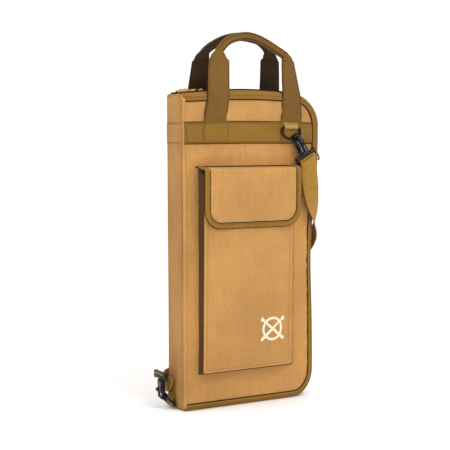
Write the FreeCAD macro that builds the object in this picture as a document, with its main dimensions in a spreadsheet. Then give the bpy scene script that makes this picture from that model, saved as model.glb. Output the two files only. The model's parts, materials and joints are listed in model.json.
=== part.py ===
import FreeCAD, Part
import math
import os

import Sketcher
from FreeCAD import Placement, Rotation, Vector

# Drum stick bag. X runs across the front from the spine to the zip side, -Y faces the user, Z is up.
# The origin is the middle of the foot of the closed body, on the surface that it stands on.
# The bag opens like a book: front half, spine and back half are joined by two fabric folds at the left,
# and a zip joins the halves along the top, the right side and the foot.

DOC = FreeCAD.newDocument("drum_stick_bag")
SHEET = DOC.addObject("Spreadsheet::Sheet", "Sizes")
X_AXIS = Vector(1, 0, 0)
Y_AXIS = Vector(0, 1, 0)
Z_AXIS = Vector(0, 0, 1)
FRONT, BACK = -1, 1

SIZES = {
    # body, in millimetres
    "body_width": 242, "body_height": 480, "half_depth": 27, "corner_radius": 45, "edge_radius": 4,
    "fabric": 2, "foam": 4.5, "lining": 1, "fold_gap": 0.3, "layer_gap": 0.5,
    # rim: binding, zip tape and coil, as distances from the plane where the halves meet
    "wall_start": 10, "padding_start": 12, "binding_start": 5, "binding_proud": 3,
    "tape_start": 1, "tape_end": 11.8, "tape": 1.2, "coil_mesh": 0.3, "coil_gap": 0.4, "coil_end": 2.3,
    "coil_proud": 0.5,
    # stick pockets inside each half
    "channel_depth": 10, "stick_pocket_sheet": 1.5, "stick_pocket_left": 100, "stick_pocket_width": 180,
    "front_channels": 3, "back_channels": 4, "front_stick_pocket_top": 300, "back_stick_pocket_top": 340,
    # spine, inside its canvas
    "spine_foam": 4, "spine_lining": 1, "spine_inset": 5.3,
    # webbing round the body
    "webbing": 2, "strip_low": 407, "strip_width": 32, "strip_end": 112, "band": 1,
    # carry handles
    "handle_width": 38, "handle_spacing": 136, "handle_foot": 440, "handle_shoulder": 524,
    "handle_neck": 546, "handle_top": 576, "handle_lean": 21, "handle_inward": 9, "neck_step": 6,
    "grip_width": 13, "grip_thickness": 8,
    # accessory pocket
    "pocket_left": 94, "pocket_right": 60, "pocket_foot": 59, "pocket_top": 352, "pocket_low_depth": 14,
    "pocket_top_depth": 20, "pocket_sheet": 1.5,
    "flap_left": 98, "flap_right": 71, "flap_foot": 280, "flap_hinge_height": 368.5, "flap_reach": 25,
    "flap_sheet": 1.5, "flap_radius": 28, "flap_binding": 8, "flap_binding_thick": 3,
    "fastener_width": 70, "fastener_height": 24, "fastener_thick": 1.2, "fastener_low": 296,
    # rings, snap hooks and strap
    "ring_width": 26, "ring_straight": 6, "ring_wire": 3, "ring_corner": 4,
    "tab_width": 19, "tab_bore": 3.8, "tab_sheet": 1.6, "upper_tab_tail": 6.5, "lower_tab_tail": 30,
    "eye_bore": 5.2, "eye_outer": 11, "eye_thick": 7, "stem_width": 12, "stem_thick": 5, "stem_start": 4,
    "stem_end": 24, "collar_width": 8, "collar_end": 27, "swivel_start": 27.6, "swivel_end": 39,
    "swivel_width": 39,
    "swivel_thick": 6, "swivel_side": 2.8, "swivel_bar": 3.2, "swivel_end_bar": 3.6, "hook_stand_off": 4,
    "bolt_width": 4, "bolt_thick": 2.4, "bolt_tip": 0.8, "bolt_end": 15, "knob_start": 9, "knob_end": 14,
    "knob_height": 3.2,
    "strap_width": 32, "strap_thick": 1.8, "adjuster_length": 26, "adjuster_thick": 6, "adjuster_side": 3,
    "adjuster_end": 2.5, "adjuster_clear": 2, "strap_path": 3.2,
    # zip sliders
    "slider_length": 13, "slider_width": 9, "slider_plate": 1.2, "slider_clear": 1,
    "upper_slider_height": 409, "lower_slider_height": 372, "pull_radius": 5.5, "pull_straight": 21,
    "pull_wire": 1.6, "pull_stand_off": 1.4, "pull_clear": 0.35, "crown_length": 8, "crown_width": 2.4,
    "crown_height": 3, "upper_pull_tilt": 29, "lower_pull_tilt": 0,
}
for row, (name, value) in enumerate(SIZES.items(), start=1):
    SHEET.set(f"A{row}", name)
    SHEET.set(f"B{row}", str(value))
    SHEET.setAlias(f"B{row}", name)
DOC.recompute()


def size(name):
    """The value of a driving dimension, in millimetres."""
    return float(SHEET.get(name))


def cells(text):
    """An expression in which each driving dimension's name refers to its cell."""
    for name in sorted(SIZES, key=len, reverse=True):
        text = text.replace(f"{{{name}}}", f"Sizes.{name}")
    return text


def bind(thing, **properties):
    """Bind properties of an object to expressions over the sheet; two underscores stand for a dot."""
    for prop, text in properties.items():
        thing.setExpression(prop.replace("__", "."), cells(text))


# ---- small builders ---------------------------------------------------------------------------------


def new_body(label):
    body = DOC.addObject("PartDesign::Body", label)
    body.Label = label
    return body


def sketch_on(body, role, offset="0"):
    """A sketch on one of the body's own origin planes, moved along the plane's normal."""
    plane = next(f for f in body.Origin.OriginFeatures if f.Role == role)
    sketch = body.newObject("Sketcher::SketchObject", "Profile")
    sketch.AttachmentSupport = [(plane, "")]
    sketch.MapMode = "FlatFace"
    bind(sketch, AttachmentOffset__Base__z=offset)
    return sketch


def closed_outline(sketch, corners):
    """Straight sides through the corners; each corner's two coordinates are expressions of the sheet."""
    count = len(corners)
    DOC.recompute()
    points = [Vector(*[evaluate(c) for c in corner], 0) for corner in corners]
    lines = [Part.LineSegment(points[i], points[(i + 1) % count]) for i in range(count)]
    sketch.addGeometry(lines, False)
    for i in range(count):
        sketch.addConstraint(Sketcher.Constraint("Coincident", i, 2, (i + 1) % count, 1))
    for i, corner in enumerate(corners):
        for kind, text in zip(("DistanceX", "DistanceY"), corner):
            place(sketch, kind, i, text)


def place(sketch, kind, line, text):
    """Fix one coordinate of a line's first point to an expression of the sheet."""
    value = evaluate(text)
    if abs(value) < 1e-9:
        on_axis = -2 if kind == "DistanceX" else -1
        sketch.addConstraint(Sketcher.Constraint("PointOnObject", line, 1, on_axis))
        return
    ends = (-1, 1, line, 1) if value > 0 else (line, 1, -1, 1)
    index = sketch.addConstraint(Sketcher.Constraint(kind, *ends, abs(value)))
    sign = "" if value > 0 else "-1 * "
    sketch.setExpression(f"Constraints[{index}]", cells(f"{sign}({text})"))


def evaluate(text):
    """The number that an expression over the sheet gives now."""
    for name in sorted(SIZES, key=len, reverse=True):
        text = text.replace(f"{{{name}}}", repr(size(name)))
    return float(SHEET.evalExpression(text))


def half_outline(sketch, left, right, foot, top, radius):
    """The outline of a half seen from the front: square at the spine, rounded at the zip side."""
    x0, x1, z0, z1, r = (evaluate(t) for t in (left, right, foot, top, radius))
    bend = math.pi / 2
    sketch.addGeometry([
        Part.LineSegment(Vector(x0, z0, 0), Vector(x1 - r, z0, 0)),
        Part.ArcOfCircle(Part.Circle(Vector(x1 - r, z0 + r, 0), Z_AXIS, r), -bend, 0),
        Part.LineSegment(Vector(x1, z0 + r, 0), Vector(x1, z1 - r, 0)),
        Part.ArcOfCircle(Part.Circle(Vector(x1 - r, z1 - r, 0), Z_AXIS, r), 0, bend),
        Part.LineSegment(Vector(x1 - r, z1, 0), Vector(x0, z1, 0)),
        Part.LineSegment(Vector(x0, z1, 0), Vector(x0, z0, 0)),
    ], False)
    for i in (0, 1, 2, 3):
        sketch.addConstraint(Sketcher.Constraint("Tangent", i, 2, i + 1, 1))
    sketch.addConstraint(Sketcher.Constraint("Coincident", 4, 2, 5, 1))
    sketch.addConstraint(Sketcher.Constraint("Coincident", 5, 2, 0, 1))
    for line in (0, 4):
        sketch.addConstraint(Sketcher.Constraint("Horizontal", line))
    for line in (2, 5):
        sketch.addConstraint(Sketcher.Constraint("Vertical", line))
    sketch.addConstraint(Sketcher.Constraint("Equal", 1, 3))
    index = sketch.addConstraint(Sketcher.Constraint("Radius", 1, r))
    sketch.setExpression(f"Constraints[{index}]", cells(radius))
    place(sketch, "DistanceX", 0, left)
    place(sketch, "DistanceY", 0, foot)
    place(sketch, "DistanceX", 2, right)
    place(sketch, "DistanceY", 4, top)


def pad(body, sketch, length, reverse=False, name="Pad"):
    feature = body.newObject(f"PartDesign::{name}", name)
    feature.Profile = sketch
    feature.Reversed = reverse
    bind(feature, Length=length)
    DOC.recompute()
    return feature


def box(label, x, y, z):
    """A box between two expressions along each axis."""
    solid = DOC.addObject("Part::Box", label)
    solid.Label = label
    for (low, high), side, axis in zip((x, y, z), ("Length", "Width", "Height"), "xyz"):
        bind(solid, **{side: f"({high}) - ({low})", f"Placement__Base__{axis}": low})
    return solid


def shaped(label, shape, placement=None):
    """A sub-part whose shape is worked out in code from the sheet."""
    solid = DOC.addObject("Part::Feature", label)
    solid.Label = label
    solid.Shape = shape
    if placement is not None:
        solid.Placement = placement
    return solid


def block(x, y, z):
    """A plain box shape between two numbers along each axis."""
    sides = [high - low for low, high in (x, y, z)]
    return Part.makeBox(*sides, Vector(x[0], y[0], z[0]))


def rod(radius, start, end):
    """A round rod between two points."""
    return Part.makeCylinder(radius, (end - start).Length, start, end - start)


# ---- body: two halves and a spine ---------------------------------------------------------------------


def rim_layer(label, side, near, far, outer, inner, left, floor=None, foot=None):
    """One layer of a half: a wall round the top, zip side and foot, with an optional floor plate.

    near and far are distances from the meeting plane, outer and inner how far the wall's faces lie
    inside the outline. A floor closes the layer on the outside of the bag; without one it is a band.
    """
    body = new_body(label)
    start = near if side == FRONT else f"-({near})"
    for inset, role in ((outer, "Pad"), (inner, "Pocket")):
        sketch = sketch_on(body, "XZ_Plane", start)
        cut = role == "Pocket"
        edge = f"{left} - 10" if cut else left
        low = f"{inset}" if cut or foot is None else foot
        half_outline(sketch, edge, f"{{body_width}} / 2 - ({inset})", low,
                     f"{{body_height}} - ({inset})", f"{{corner_radius}} - ({inset})")
        depth = f"({far}) - ({near})"
        if cut:
            depth += f" - ({floor})" if floor else " + 1"
        pad(body, sketch, depth, reverse=(side == BACK) != cut, name=role)
    return body


def fabric_half(prefix, side):
    """The outer canvas, foam, lining, binding and zip of one half of the bag."""
    edge = "-{body_width} / 2"
    canvas = rim_layer(f"{prefix}_canvas", side, "{wall_start}", "{half_depth}", "0", "{fabric}",
                       f"{edge} + {{fold_gap}}", floor="{fabric}")
    tray = canvas.Tip
    face_y = side * size("half_depth")
    names = []
    for i, outline in enumerate(tray.Shape.Edges, start=1):
        on_face = all(abs(v.Y - face_y) < 1e-6 for v in outline.Vertexes)
        middle = outline.valueAt((outline.FirstParameter + outline.LastParameter) / 2)
        if on_face and middle.x > -size("body_width") / 2 + 1:
            names.append(f"Edge{i}")
    rounded = canvas.newObject("PartDesign::Fillet", "RoundedEdge")
    rounded.Base = (tray, names)
    bind(rounded, Radius="{edge_radius}")

    foam_left = f"{edge} + {{fabric}} + {{layer_gap}}"
    foam_face = "{half_depth} - {fabric}"
    rim_layer(f"{prefix}_foam", side, "{padding_start}", foam_face, "{fabric}", "{fabric} + {foam}",
              foam_left, floor="{foam}")
    lining_face = f"{foam_face} - {{foam}}"
    rim_layer(f"{prefix}_lining", side, "{padding_start}", lining_face, "{fabric} + {foam}",
              "{fabric} + {foam} + {lining}", f"{foam_left} + {{foam}} + {{layer_gap}}", floor="{lining}")
    rim_layer(f"{prefix}_binding", side, "{binding_start}", "{wall_start}", "-{binding_proud}",
              "{binding_proud}", foam_left, foot="0")
    rim_layer(f"{prefix}_zip_tape", side, "{tape_start}", "{tape_end}", "{binding_proud}",
              "{binding_proud} + {tape}", foam_left)
    coil_start = "-{coil_mesh}" if side == FRONT else "{coil_mesh} + {coil_gap}"
    rim_layer(f"{prefix}_zip_coil", side, coil_start, "{coil_end}", "-{coil_proud}",
              "{binding_proud}", foam_left, foot="0")


def stick_pocket(prefix, side):
    """A row of stick channels sewn to a lining: closed at the foot and sides, open at the top."""
    body = new_body(f"{prefix}_stick_pocket")
    back = "{half_depth} - {fabric} - {foam} - {lining}"
    depth = "{channel_depth} + {stick_pocket_sheet}"
    near = f"{back} - ({depth})"
    left, right = "-{stick_pocket_left}", "{stick_pocket_width} - {stick_pocket_left}"
    foot, top = "{fabric} + {foam} + {lining} + 1.5", f"{{{prefix}_stick_pocket_top}}"
    sketch = sketch_on(body, "XZ_Plane", near if side == FRONT else f"-({near})")
    closed_outline(sketch, [(left, foot), (right, foot), (right, top), (left, top)])
    pad(body, sketch, depth, reverse=side == BACK)
    count = f"{{{prefix}_channels}}"
    pitch = f"({{stick_pocket_width}} - {{stick_pocket_sheet}}) / {count}"
    first = f"{left} + {{stick_pocket_sheet}}"
    last = f"{left} + {pitch}"
    faces = (f"{near} + {{stick_pocket_sheet}}", f"{back} + 1")
    low, high = faces if side == BACK else [f"-({face})" for face in reversed(faces)]
    channel = sketch_on(body, "XY_Plane", top)
    closed_outline(channel, [(first, low), (last, low), (last, high), (first, high)])
    cut = pad(body, channel, f"{top} - ({foot}) - {{stick_pocket_sheet}}", name="Pocket")
    row = body.newObject("PartDesign::LinearPattern", "Channels")
    row.Originals = [cut]
    row.Direction = (channel, ["H_Axis"])
    row.Occurrences = int(size(f"{prefix}_channels"))
    bind(row, Length=f"{{stick_pocket_width}} - {{stick_pocket_sheet}} - {pitch}")
    body.Tip = row


for prefix, side in (("front", FRONT), ("back", BACK)):
    fabric_half(prefix, side)
    stick_pocket(prefix, side)

SPINE_FACE = "-{body_width} / 2"
spine_layers = (
    # label, from and to from the outer face, half width, distance from the top and foot
    ("spine_canvas", "0", "{fabric}", "{half_depth} - {fabric} - {fold_gap}", "{fabric} + {fold_gap}"),
    ("spine_foam", "{fabric}", "{fabric} + {spine_foam}", "{half_depth} - {fabric} - {spine_inset}",
     "{fabric} + 5"),
    ("spine_lining", "{fabric} + {spine_foam}", "{fabric} + {spine_foam} + {spine_lining}",
     "{half_depth} - {fabric} - {spine_inset} - 0.8", "{fabric} + 6"),
    ("spine_band", "-{band}", "0", "{half_depth} - 3", "{strip_low}"),
)
for label, near, far, reach, end in spine_layers:
    top = "{strip_low} + {strip_width}" if label == "spine_band" else f"{{body_height}} - ({end})"
    box(label, (f"{SPINE_FACE} + {near}", f"{SPINE_FACE} + {far}"), (f"-({reach})", reach), (end, top))

for prefix, side in (("front", FRONT), ("back", BACK)):
    near, far = "{half_depth}", "{half_depth} + {webbing}"
    faces = (near, far) if side == BACK else (f"-({far})", f"-({near})")
    box(f"{prefix}_strip", (f"{SPINE_FACE} + 0.5", "{strip_end}"), faces,
        ("{strip_low}", "{strip_low} + {strip_width}"))


# ---- carry handles --------------------------------------------------------------------------------------


def rectangle(middle, across, along, width, thickness):
    """A closed rectangle about a point, width along one direction and thickness along the other."""
    u, v = across * (width / 2), along * (thickness / 2)
    corners = [middle - u - v, middle + u - v, middle + u + v, middle - u + v]
    return Part.makePolygon(corners + corners[:1])


def handle_shape(side):
    """One webbing handle: two flat legs that fold to a narrow grip over the top."""
    face = size("half_depth") + 0.4 + size("webbing") / 2
    neck, top = size("handle_neck"), size("handle_top")
    spread = size("handle_spacing") / 2
    shoulder = spread - size("handle_inward")
    start = shoulder - size("neck_step")
    thick = size("grip_thickness")

    def depth(z):
        """How far out the webbing runs at a height: flat on the body, then leaning to the middle."""
        lean = max(0.0, z - size("body_height")) / (top - size("body_height"))
        return side * (face - size("handle_lean") * lean)

    solids = []
    for hand in (-1, 1):
        rungs = ((size("handle_foot"), spread, size("handle_width"), size("webbing")),
                 (size("body_height"), spread, size("handle_width"), size("webbing")),
                 (size("handle_shoulder"), shoulder, size("handle_width"), size("webbing")),
                 (neck, start, size("grip_width"), thick))
        for (z0, x0, w0, t0), (z1, x1, w1, t1) in zip(rungs, rungs[1:]):
            low = rectangle(Vector(hand * x0, depth(z0), z0), X_AXIS, Y_AXIS, w0, t0)
            high = rectangle(Vector(hand * x1, depth(z1), z1), X_AXIS, Y_AXIS, w1, t1)
            solids.append(Part.makeLoft([low, high], True, True))
    end = top - thick / 2
    arc = Part.Arc(Vector(-start, depth(neck), neck), Vector(0, depth(end), end),
                   Vector(start, depth(neck), neck)).toShape()
    tangent = arc.tangentAt(arc.FirstParameter)
    across = Y_AXIS.cross(tangent)
    section = rectangle(arc.valueAt(arc.FirstParameter), across.normalize(), tangent.cross(across),
                        size("grip_width"), thick)
    grip = Part.Wire([arc]).makePipeShell([section], True, False)
    for hand in (-1, 1):
        bend = Vector(hand * start, depth(neck), neck)
        half = Y_AXIS * (thick / 2)
        solids.append(rod(size("grip_width") / 2, bend - half, bend + half))
    return solids[0].multiFuse(solids[1:] + [grip]).removeSplitter()


back_grip = handle_shape(BACK)
shaped("back_handle", back_grip)
shaped("front_handle", back_grip.mirror(Vector(0, 0, 0), Y_AXIS))


# ---- accessory pocket on the front ------------------------------------------------------------------------

PANEL = "-{half_depth}"
LOW_FACE = f"{PANEL} - {{pocket_low_depth}}"
TOP_FACE = f"{PANEL} - {{pocket_top_depth}}"

face = new_body("pocket_face")
profile = sketch_on(face, "YZ_Plane", "-{pocket_left}")
closed_outline(profile, [
    (LOW_FACE, "{pocket_foot}"), (f"{LOW_FACE} + {{pocket_sheet}}", "{pocket_foot}"),
    (f"{TOP_FACE} + {{pocket_sheet}}", "{pocket_top}"), (TOP_FACE, "{pocket_top}"),
])
pad(face, profile, "{pocket_left} + {pocket_right}")

gusset = new_body("pocket_gusset")
profile = sketch_on(gusset, "YZ_Plane", "-{pocket_left}")
closed_outline(profile, [
    (PANEL, "{pocket_foot}"), (PANEL, "{pocket_top}"),
    (f"{TOP_FACE} + {{pocket_sheet}}", "{pocket_top}"), (f"{LOW_FACE} + {{pocket_sheet}}", "{pocket_foot}"),
])
pad(gusset, profile, "{pocket_left} + {pocket_right}")
inside = sketch_on(gusset, "XZ_Plane", "{half_depth} - 1")
closed_outline(inside, [
    ("-{pocket_left} + {pocket_sheet}", "{pocket_foot} + {pocket_sheet}"),
    ("{pocket_right} - {pocket_sheet}", "{pocket_foot} + {pocket_sheet}"),
    ("{pocket_right} - {pocket_sheet}", "{pocket_top} + 1"),
    ("-{pocket_left} + {pocket_sheet}", "{pocket_top} + 1"),
])
pad(gusset, inside, "{flap_reach} + 5", reverse=True, name="Pocket")

FLAP_FACE = f"{PANEL} - {{flap_reach}}"
box("flap_roof", ("-{flap_left}", "{flap_right}"), (f"{FLAP_FACE} + 0.5", PANEL),
    ("{flap_hinge_height}", "{flap_hinge_height} + {flap_sheet}"))


def flap_outline(sketch, inset, top):
    """The flap seen from the front: square at the top, with rounded lower corners."""
    x0, x1 = f"-{{flap_left}} + {inset}", f"{{flap_right}} - {inset}"
    z0, radius = f"{{flap_foot}} + {inset}", f"{{flap_radius}} - {inset}"
    low_x, high_x, low_z, high_z, r = (evaluate(t) for t in (x0, x1, z0, top, radius))
    bend = math.pi / 2
    sketch.addGeometry([
        Part.LineSegment(Vector(low_x + r, low_z, 0), Vector(high_x - r, low_z, 0)),
        Part.ArcOfCircle(Part.Circle(Vector(high_x - r, low_z + r, 0), Z_AXIS, r), -bend, 0),
        Part.LineSegment(Vector(high_x, low_z + r, 0), Vector(high_x, high_z, 0)),
        Part.LineSegment(Vector(high_x, high_z, 0), Vector(low_x, high_z, 0)),
        Part.LineSegment(Vector(low_x, high_z, 0), Vector(low_x, low_z + r, 0)),
        Part.ArcOfCircle(Part.Circle(Vector(low_x + r, low_z + r, 0), Z_AXIS, r), 2 * bend, 3 * bend),
    ], False)
    for a, b in ((0, 1), (1, 2), (4, 5), (5, 0)):
        sketch.addConstraint(Sketcher.Constraint("Tangent", a, 2, b, 1))
    for a, b in ((2, 3), (3, 4)):
        sketch.addConstraint(Sketcher.Constraint("Coincident", a, 2, b, 1))
    for line, kind in ((0, "Horizontal"), (3, "Horizontal"), (2, "Vertical"), (4, "Vertical")):
        sketch.addConstraint(Sketcher.Constraint(kind, line))
    sketch.addConstraint(Sketcher.Constraint("Equal", 1, 5))
    index = sketch.addConstraint(Sketcher.Constraint("Radius", 1, r))
    sketch.setExpression(f"Constraints[{index}]", cells(radius))
    place(sketch, "DistanceY", 0, z0)
    place(sketch, "DistanceX", 3, x1)
    place(sketch, "DistanceY", 3, top)
    place(sketch, "DistanceX", 4, x0)


FLAP_TOP = "{flap_hinge_height} - 0.5"
flap = new_body("flap_panel")
sheet_start = "{half_depth} + {flap_reach} - {flap_binding_thick} + 0.5"
outline = sketch_on(flap, "XZ_Plane", sheet_start)
flap_outline(outline, "{flap_binding}", FLAP_TOP)
pad(flap, outline, "{flap_sheet}")

edging = new_body("flap_binding")
outline = sketch_on(edging, "XZ_Plane", "{half_depth} + {flap_reach} - {flap_binding_thick}")
flap_outline(outline, "0", FLAP_TOP)
pad(edging, outline, "{flap_binding_thick}")
opening = sketch_on(edging, "XZ_Plane", "{half_depth} + {flap_reach} - {flap_binding_thick}")
flap_outline(opening, "{flap_binding}", f"{FLAP_TOP} + 5")
pad(edging, opening, "{flap_binding_thick} + 1", reverse=True, name="Pocket")

slope = math.degrees(math.atan2(size("pocket_top_depth") - size("pocket_low_depth"),
                                size("pocket_top") - size("pocket_foot")))
middle_x = (size("pocket_right") - size("pocket_left")) / 2
rise = (size("fastener_low") - size("pocket_foot")) / (size("pocket_top") - size("pocket_foot"))
low_y = -size("half_depth") - size("pocket_low_depth") * (1 - rise) - size("pocket_top_depth") * rise
loop_tape = box("pocket_fastener", ("0", "{fastener_width}"), ("0", "{fastener_thick}"),
                ("0", "{fastener_height}"))
for axis in "xyz":
    loop_tape.setExpression(f"Placement.Base.{axis}", None)
tilt = Rotation(X_AXIS, slope)
corner = Vector(middle_x - size("fastener_width") / 2, low_y, size("fastener_low"))
loop_tape.Placement = Placement(corner - tilt.multVec(Vector(0, size("fastener_thick") + 0.02, 0)), tilt)
hook_start = "-{half_depth} - {flap_reach} + {flap_binding_thick} - 0.5"
middle = "({pocket_right} - {pocket_left}) / 2"
box("flap_fastener", (f"{middle} - {{fastener_width}} / 2", f"{middle} + {{fastener_width}} / 2"),
    (hook_start, f"{hook_start} + {{fastener_thick}}"),
    ("{fastener_low}", "{fastener_low} + {fastener_height}"))


# ---- D-rings, tabs and snap hooks -------------------------------------------------------------------------


def frame_at(origin, out, along):
    """A placement whose local Y points out from the bag and local Z runs along a hook or ring."""
    across = out.cross(along)
    matrix = FreeCAD.Matrix(across.x, out.x, along.x, origin.x,
                            across.y, out.y, along.y, origin.y,
                            across.z, out.z, along.z, origin.z, 0, 0, 0, 1)
    return Placement(matrix)


def ring_shape():
    """A D-ring: its straight bar lies on local X through the origin and its bow hangs along local +Z."""
    half, corner = size("ring_width") / 2, size("ring_corner")
    drop, straight = size("ring_straight"), half - corner
    turn = corner * (1 - math.sqrt(0.5))
    edges = [
        Part.LineSegment(Vector(-straight, 0, 0), Vector(straight, 0, 0)).toShape(),
        Part.Arc(Vector(straight, 0, 0), Vector(half - turn, 0, turn), Vector(half, 0, corner)).toShape(),
        Part.LineSegment(Vector(half, 0, corner), Vector(half, 0, drop)).toShape(),
        Part.Arc(Vector(half, 0, drop), Vector(0, 0, drop + half), Vector(-half, 0, drop)).toShape(),
        Part.LineSegment(Vector(-half, 0, drop), Vector(-half, 0, corner)).toShape(),
        Part.Arc(Vector(-half, 0, corner), Vector(turn - half, 0, turn), Vector(-straight, 0, 0)).toShape(),
    ]
    section = Part.Wire([Part.makeCircle(size("ring_wire") / 2, Vector(0, 0, 0), X_AXIS)])
    return Part.Wire(edges).makePipeShell([section], True, False)


def tab_shape(tail):
    """A webbing tab: a loop round the ring's bar on local X, with a sewn tail along local +Z."""
    width, sheet = size("tab_width"), size("tab_sheet")
    outer = size("tab_bore") / 2 + sheet
    loop = rod(outer, Vector(-width / 2, 0, 0), Vector(width / 2, 0, 0))
    strip = block((-width / 2, width / 2), (-outer, sheet - outer), (0, tail))
    bore = rod(size("tab_bore") / 2, Vector(-width, 0, 0), Vector(width, 0, 0))
    return loop.fuse(strip).cut(bore).removeSplitter()


def hook_shape():
    """A snap hook: an open eye round the ring's wire on local X, then a stem and a swivel collar."""
    across = size("eye_thick") / 2
    eye = rod(size("eye_outer") / 2, Vector(-across, 0, 0), Vector(across, 0, 0))
    bore = rod(size("eye_bore") / 2, Vector(-2 * across, 0, 0), Vector(2 * across, 0, 0))
    off, thick = size("hook_stand_off"), size("stem_thick")
    wide = size("stem_width") / 2
    start, end = size("stem_start"), size("stem_end")
    stem = block((-wide, wide), (off - thick / 2 - 1, off + thick / 2 - 1), (start, end))
    root = block((-across, across), (-size("eye_outer") / 2, off), (start, start + 5))
    collar = rod(size("collar_width") / 2, Vector(0, off, end), Vector(0, off, size("collar_end")))
    mouth = block((-2 * across, 2 * across), (0.5, 9), (-1, start + 0.2))
    return eye.multiFuse([stem, root, collar]).cut(bore.fuse(mouth)).removeSplitter()


def bolt_shape():
    """The spring bolt that shuts a hook's eye, with its thumb knob."""
    half, low = size("bolt_width") / 2, size("hook_stand_off") + size("stem_thick") / 2 - 0.8
    high = low + size("bolt_thick")
    bolt = block((-half, half), (low, high), (-size("bolt_tip"), size("bolt_end")))
    knob_span = (size("knob_start"), size("knob_end"))
    knob = block((-half, half), (high - 0.5, high + size("knob_height")), knob_span)
    return bolt.fuse(knob).removeSplitter()


def swivel_shape():
    """The swivel base: a frame that the strap loops through."""
    half, off, thick = size("swivel_width") / 2, size("hook_stand_off"), size("swivel_thick") / 2
    low, high = size("swivel_start"), size("swivel_end")
    frame = block((-half, half), (off - thick, off + thick), (low, high))
    inside = half - size("swivel_side")
    slot = block((-inside, inside), (-30, 30), (low + size("swivel_bar"), high - size("swivel_end_bar")))
    return frame.cut(slot)


UPPER_BAR = Vector(65, -33, 433)
LEAN = math.radians(35)
RING_TILT = math.radians(9)
UPPER_ALONG = Vector(math.sin(LEAN), 0, -math.cos(LEAN))
RING_REACH = size("ring_width") / 2
ring_hang = Vector(0, -math.sin(RING_TILT), -math.cos(RING_TILT))
bow_middle = UPPER_BAR + ring_hang * size("ring_straight")
upper_eye = bow_middle + (X_AXIS * math.sin(LEAN) + ring_hang * math.cos(LEAN)) * RING_REACH
upper_ring_frame = frame_at(UPPER_BAR, ring_hang.cross(X_AXIS), ring_hang)
upper_hook_frame = frame_at(upper_eye, -Y_AXIS, UPPER_ALONG)

LOWER_BAR = Vector(-126, 9.5, 6)
RISE = Vector(-math.sqrt(0.5), 0, math.sqrt(0.5))
RING_OUT = Vector(-math.sqrt(0.5), 0, -math.sqrt(0.5))
lower_ring_frame = frame_at(LOWER_BAR, RING_OUT, RISE)
lower_eye = LOWER_BAR + RISE * (size("ring_straight") + RING_REACH)
lower_hook_frame = frame_at(lower_eye, -X_AXIS, Z_AXIS)

shaped("upper_ring_tab", tab_shape(size("upper_tab_tail")), frame_at(UPPER_BAR, -Y_AXIS, Z_AXIS))
shaped("lower_ring_tab", tab_shape(size("lower_tab_tail")), frame_at(LOWER_BAR, -X_AXIS, Z_AXIS))
for prefix, ring_frame, hook_frame in (("upper", upper_ring_frame, upper_hook_frame),
                                       ("lower", lower_ring_frame, lower_hook_frame)):
    shaped(f"{prefix}_d_ring", ring_shape(), ring_frame)
    shaped(f"{prefix}_snap_hook", hook_shape(), hook_frame)
    shaped(f"{prefix}_spring_bolt", bolt_shape(), hook_frame)
    shaped(f"{prefix}_swivel", swivel_shape(), hook_frame)


# ---- shoulder strap ---------------------------------------------------------------------------------------


def strap_shape(stations):
    """Webbing through stations; each is a middle point, the way its width runs and the way it faces."""
    sections = []
    for middle, across, facing in stations:
        u = Vector(*across).normalize()
        v = Vector(*facing)
        v = (v - u * v.dot(u)).normalize()
        sections.append(rectangle(Vector(*middle), u, v, size("strap_width"), size("strap_thick")))
    spans = [Part.makeLoft([a, b], True, True) for a, b in zip(sections, sections[1:])]
    return spans[0].multiFuse(spans[1:]) if len(spans) > 1 else spans[0]


# From the upper swivel down the front and round the zip side of the body.
strap_front = [
    ((95.3, -39.5, 383.6), (0.82, 0, 0.57), (0, -1, 0)),
    ((102, -39, 362), (0.95, 0, 0.3), (-0.1, -1, 0)),
    ((108, -38, 335), (0.97, 0.1, 0.2), (0.1, -1, 0)),
    ((115, -34, 308), (0.93, 0.35, 0.12), (0.35, -1, 0)),
    ((124, -26, 285), (0.75, 0.65, 0.1), (0.7, -0.7, 0)),
    ((132, -12, 264), (0.35, 0.9, 0.3), (0.95, -0.3, 0)),
    ((135, 4, 248), (0.1, 0.8, 0.6), (1, 0, 0)),
]
# Behind the body in a shallow sag, to the foot of the spine.
strap_back = [
    strap_front[-1],
    ((131, 22, 232), (-0.15, 0.6, 0.8), (0.8, 0.6, 0)),
    ((117, 37, 214), (-0.5, 0.25, 0.8), (0.3, 1, 0)),
    ((92, 43, 186), (-0.65, 0, 0.76), (0, 1, 0)),
    ((55, 44, 146), (-0.65, 0, 0.76), (0, 1, 0)),
    ((10, 44, 105), (-0.55, 0, 0.83), (0, 1, 0)),
    ((-40, 43, 72), (-0.42, 0, 0.9), (0, 1, 0)),
    ((-85, 41, 50), (-0.3, 0, 0.95), (0, 1, 0)),
    ((-112, 37, 42), (-0.15, 0, 1), (-0.3, 1, 0)),
]
# Round the back edge of the spine and up behind the lower hook to its swivel.
strap_lower = [
    strap_back[-1],
    ((-124, 33, 39), (0, 0.1, 1), (-0.8, 0.6, 0)),
    ((-129, 24, 37), (0, 0.45, 0.9), (-1, 0.1, 0)),
    ((-130, 14, 40), (0, 0.85, 0.5), (-1, 0, 0)),
    ((-132, 9.5, 50), (0, 1, 0), (-1, 0, -0.4)),
    ((-136, 9.5, 58), (0, 1, 0), (-0.6, 0, -0.8)),
    ((-143.4, 9.5, 60.2), (0, 1, 0), (0, 0, -1)),
]
shaped("strap_front", strap_shape(strap_front))
shaped("strap_back", strap_shape(strap_back))
shaped("strap_lower", strap_shape(strap_lower))

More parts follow.
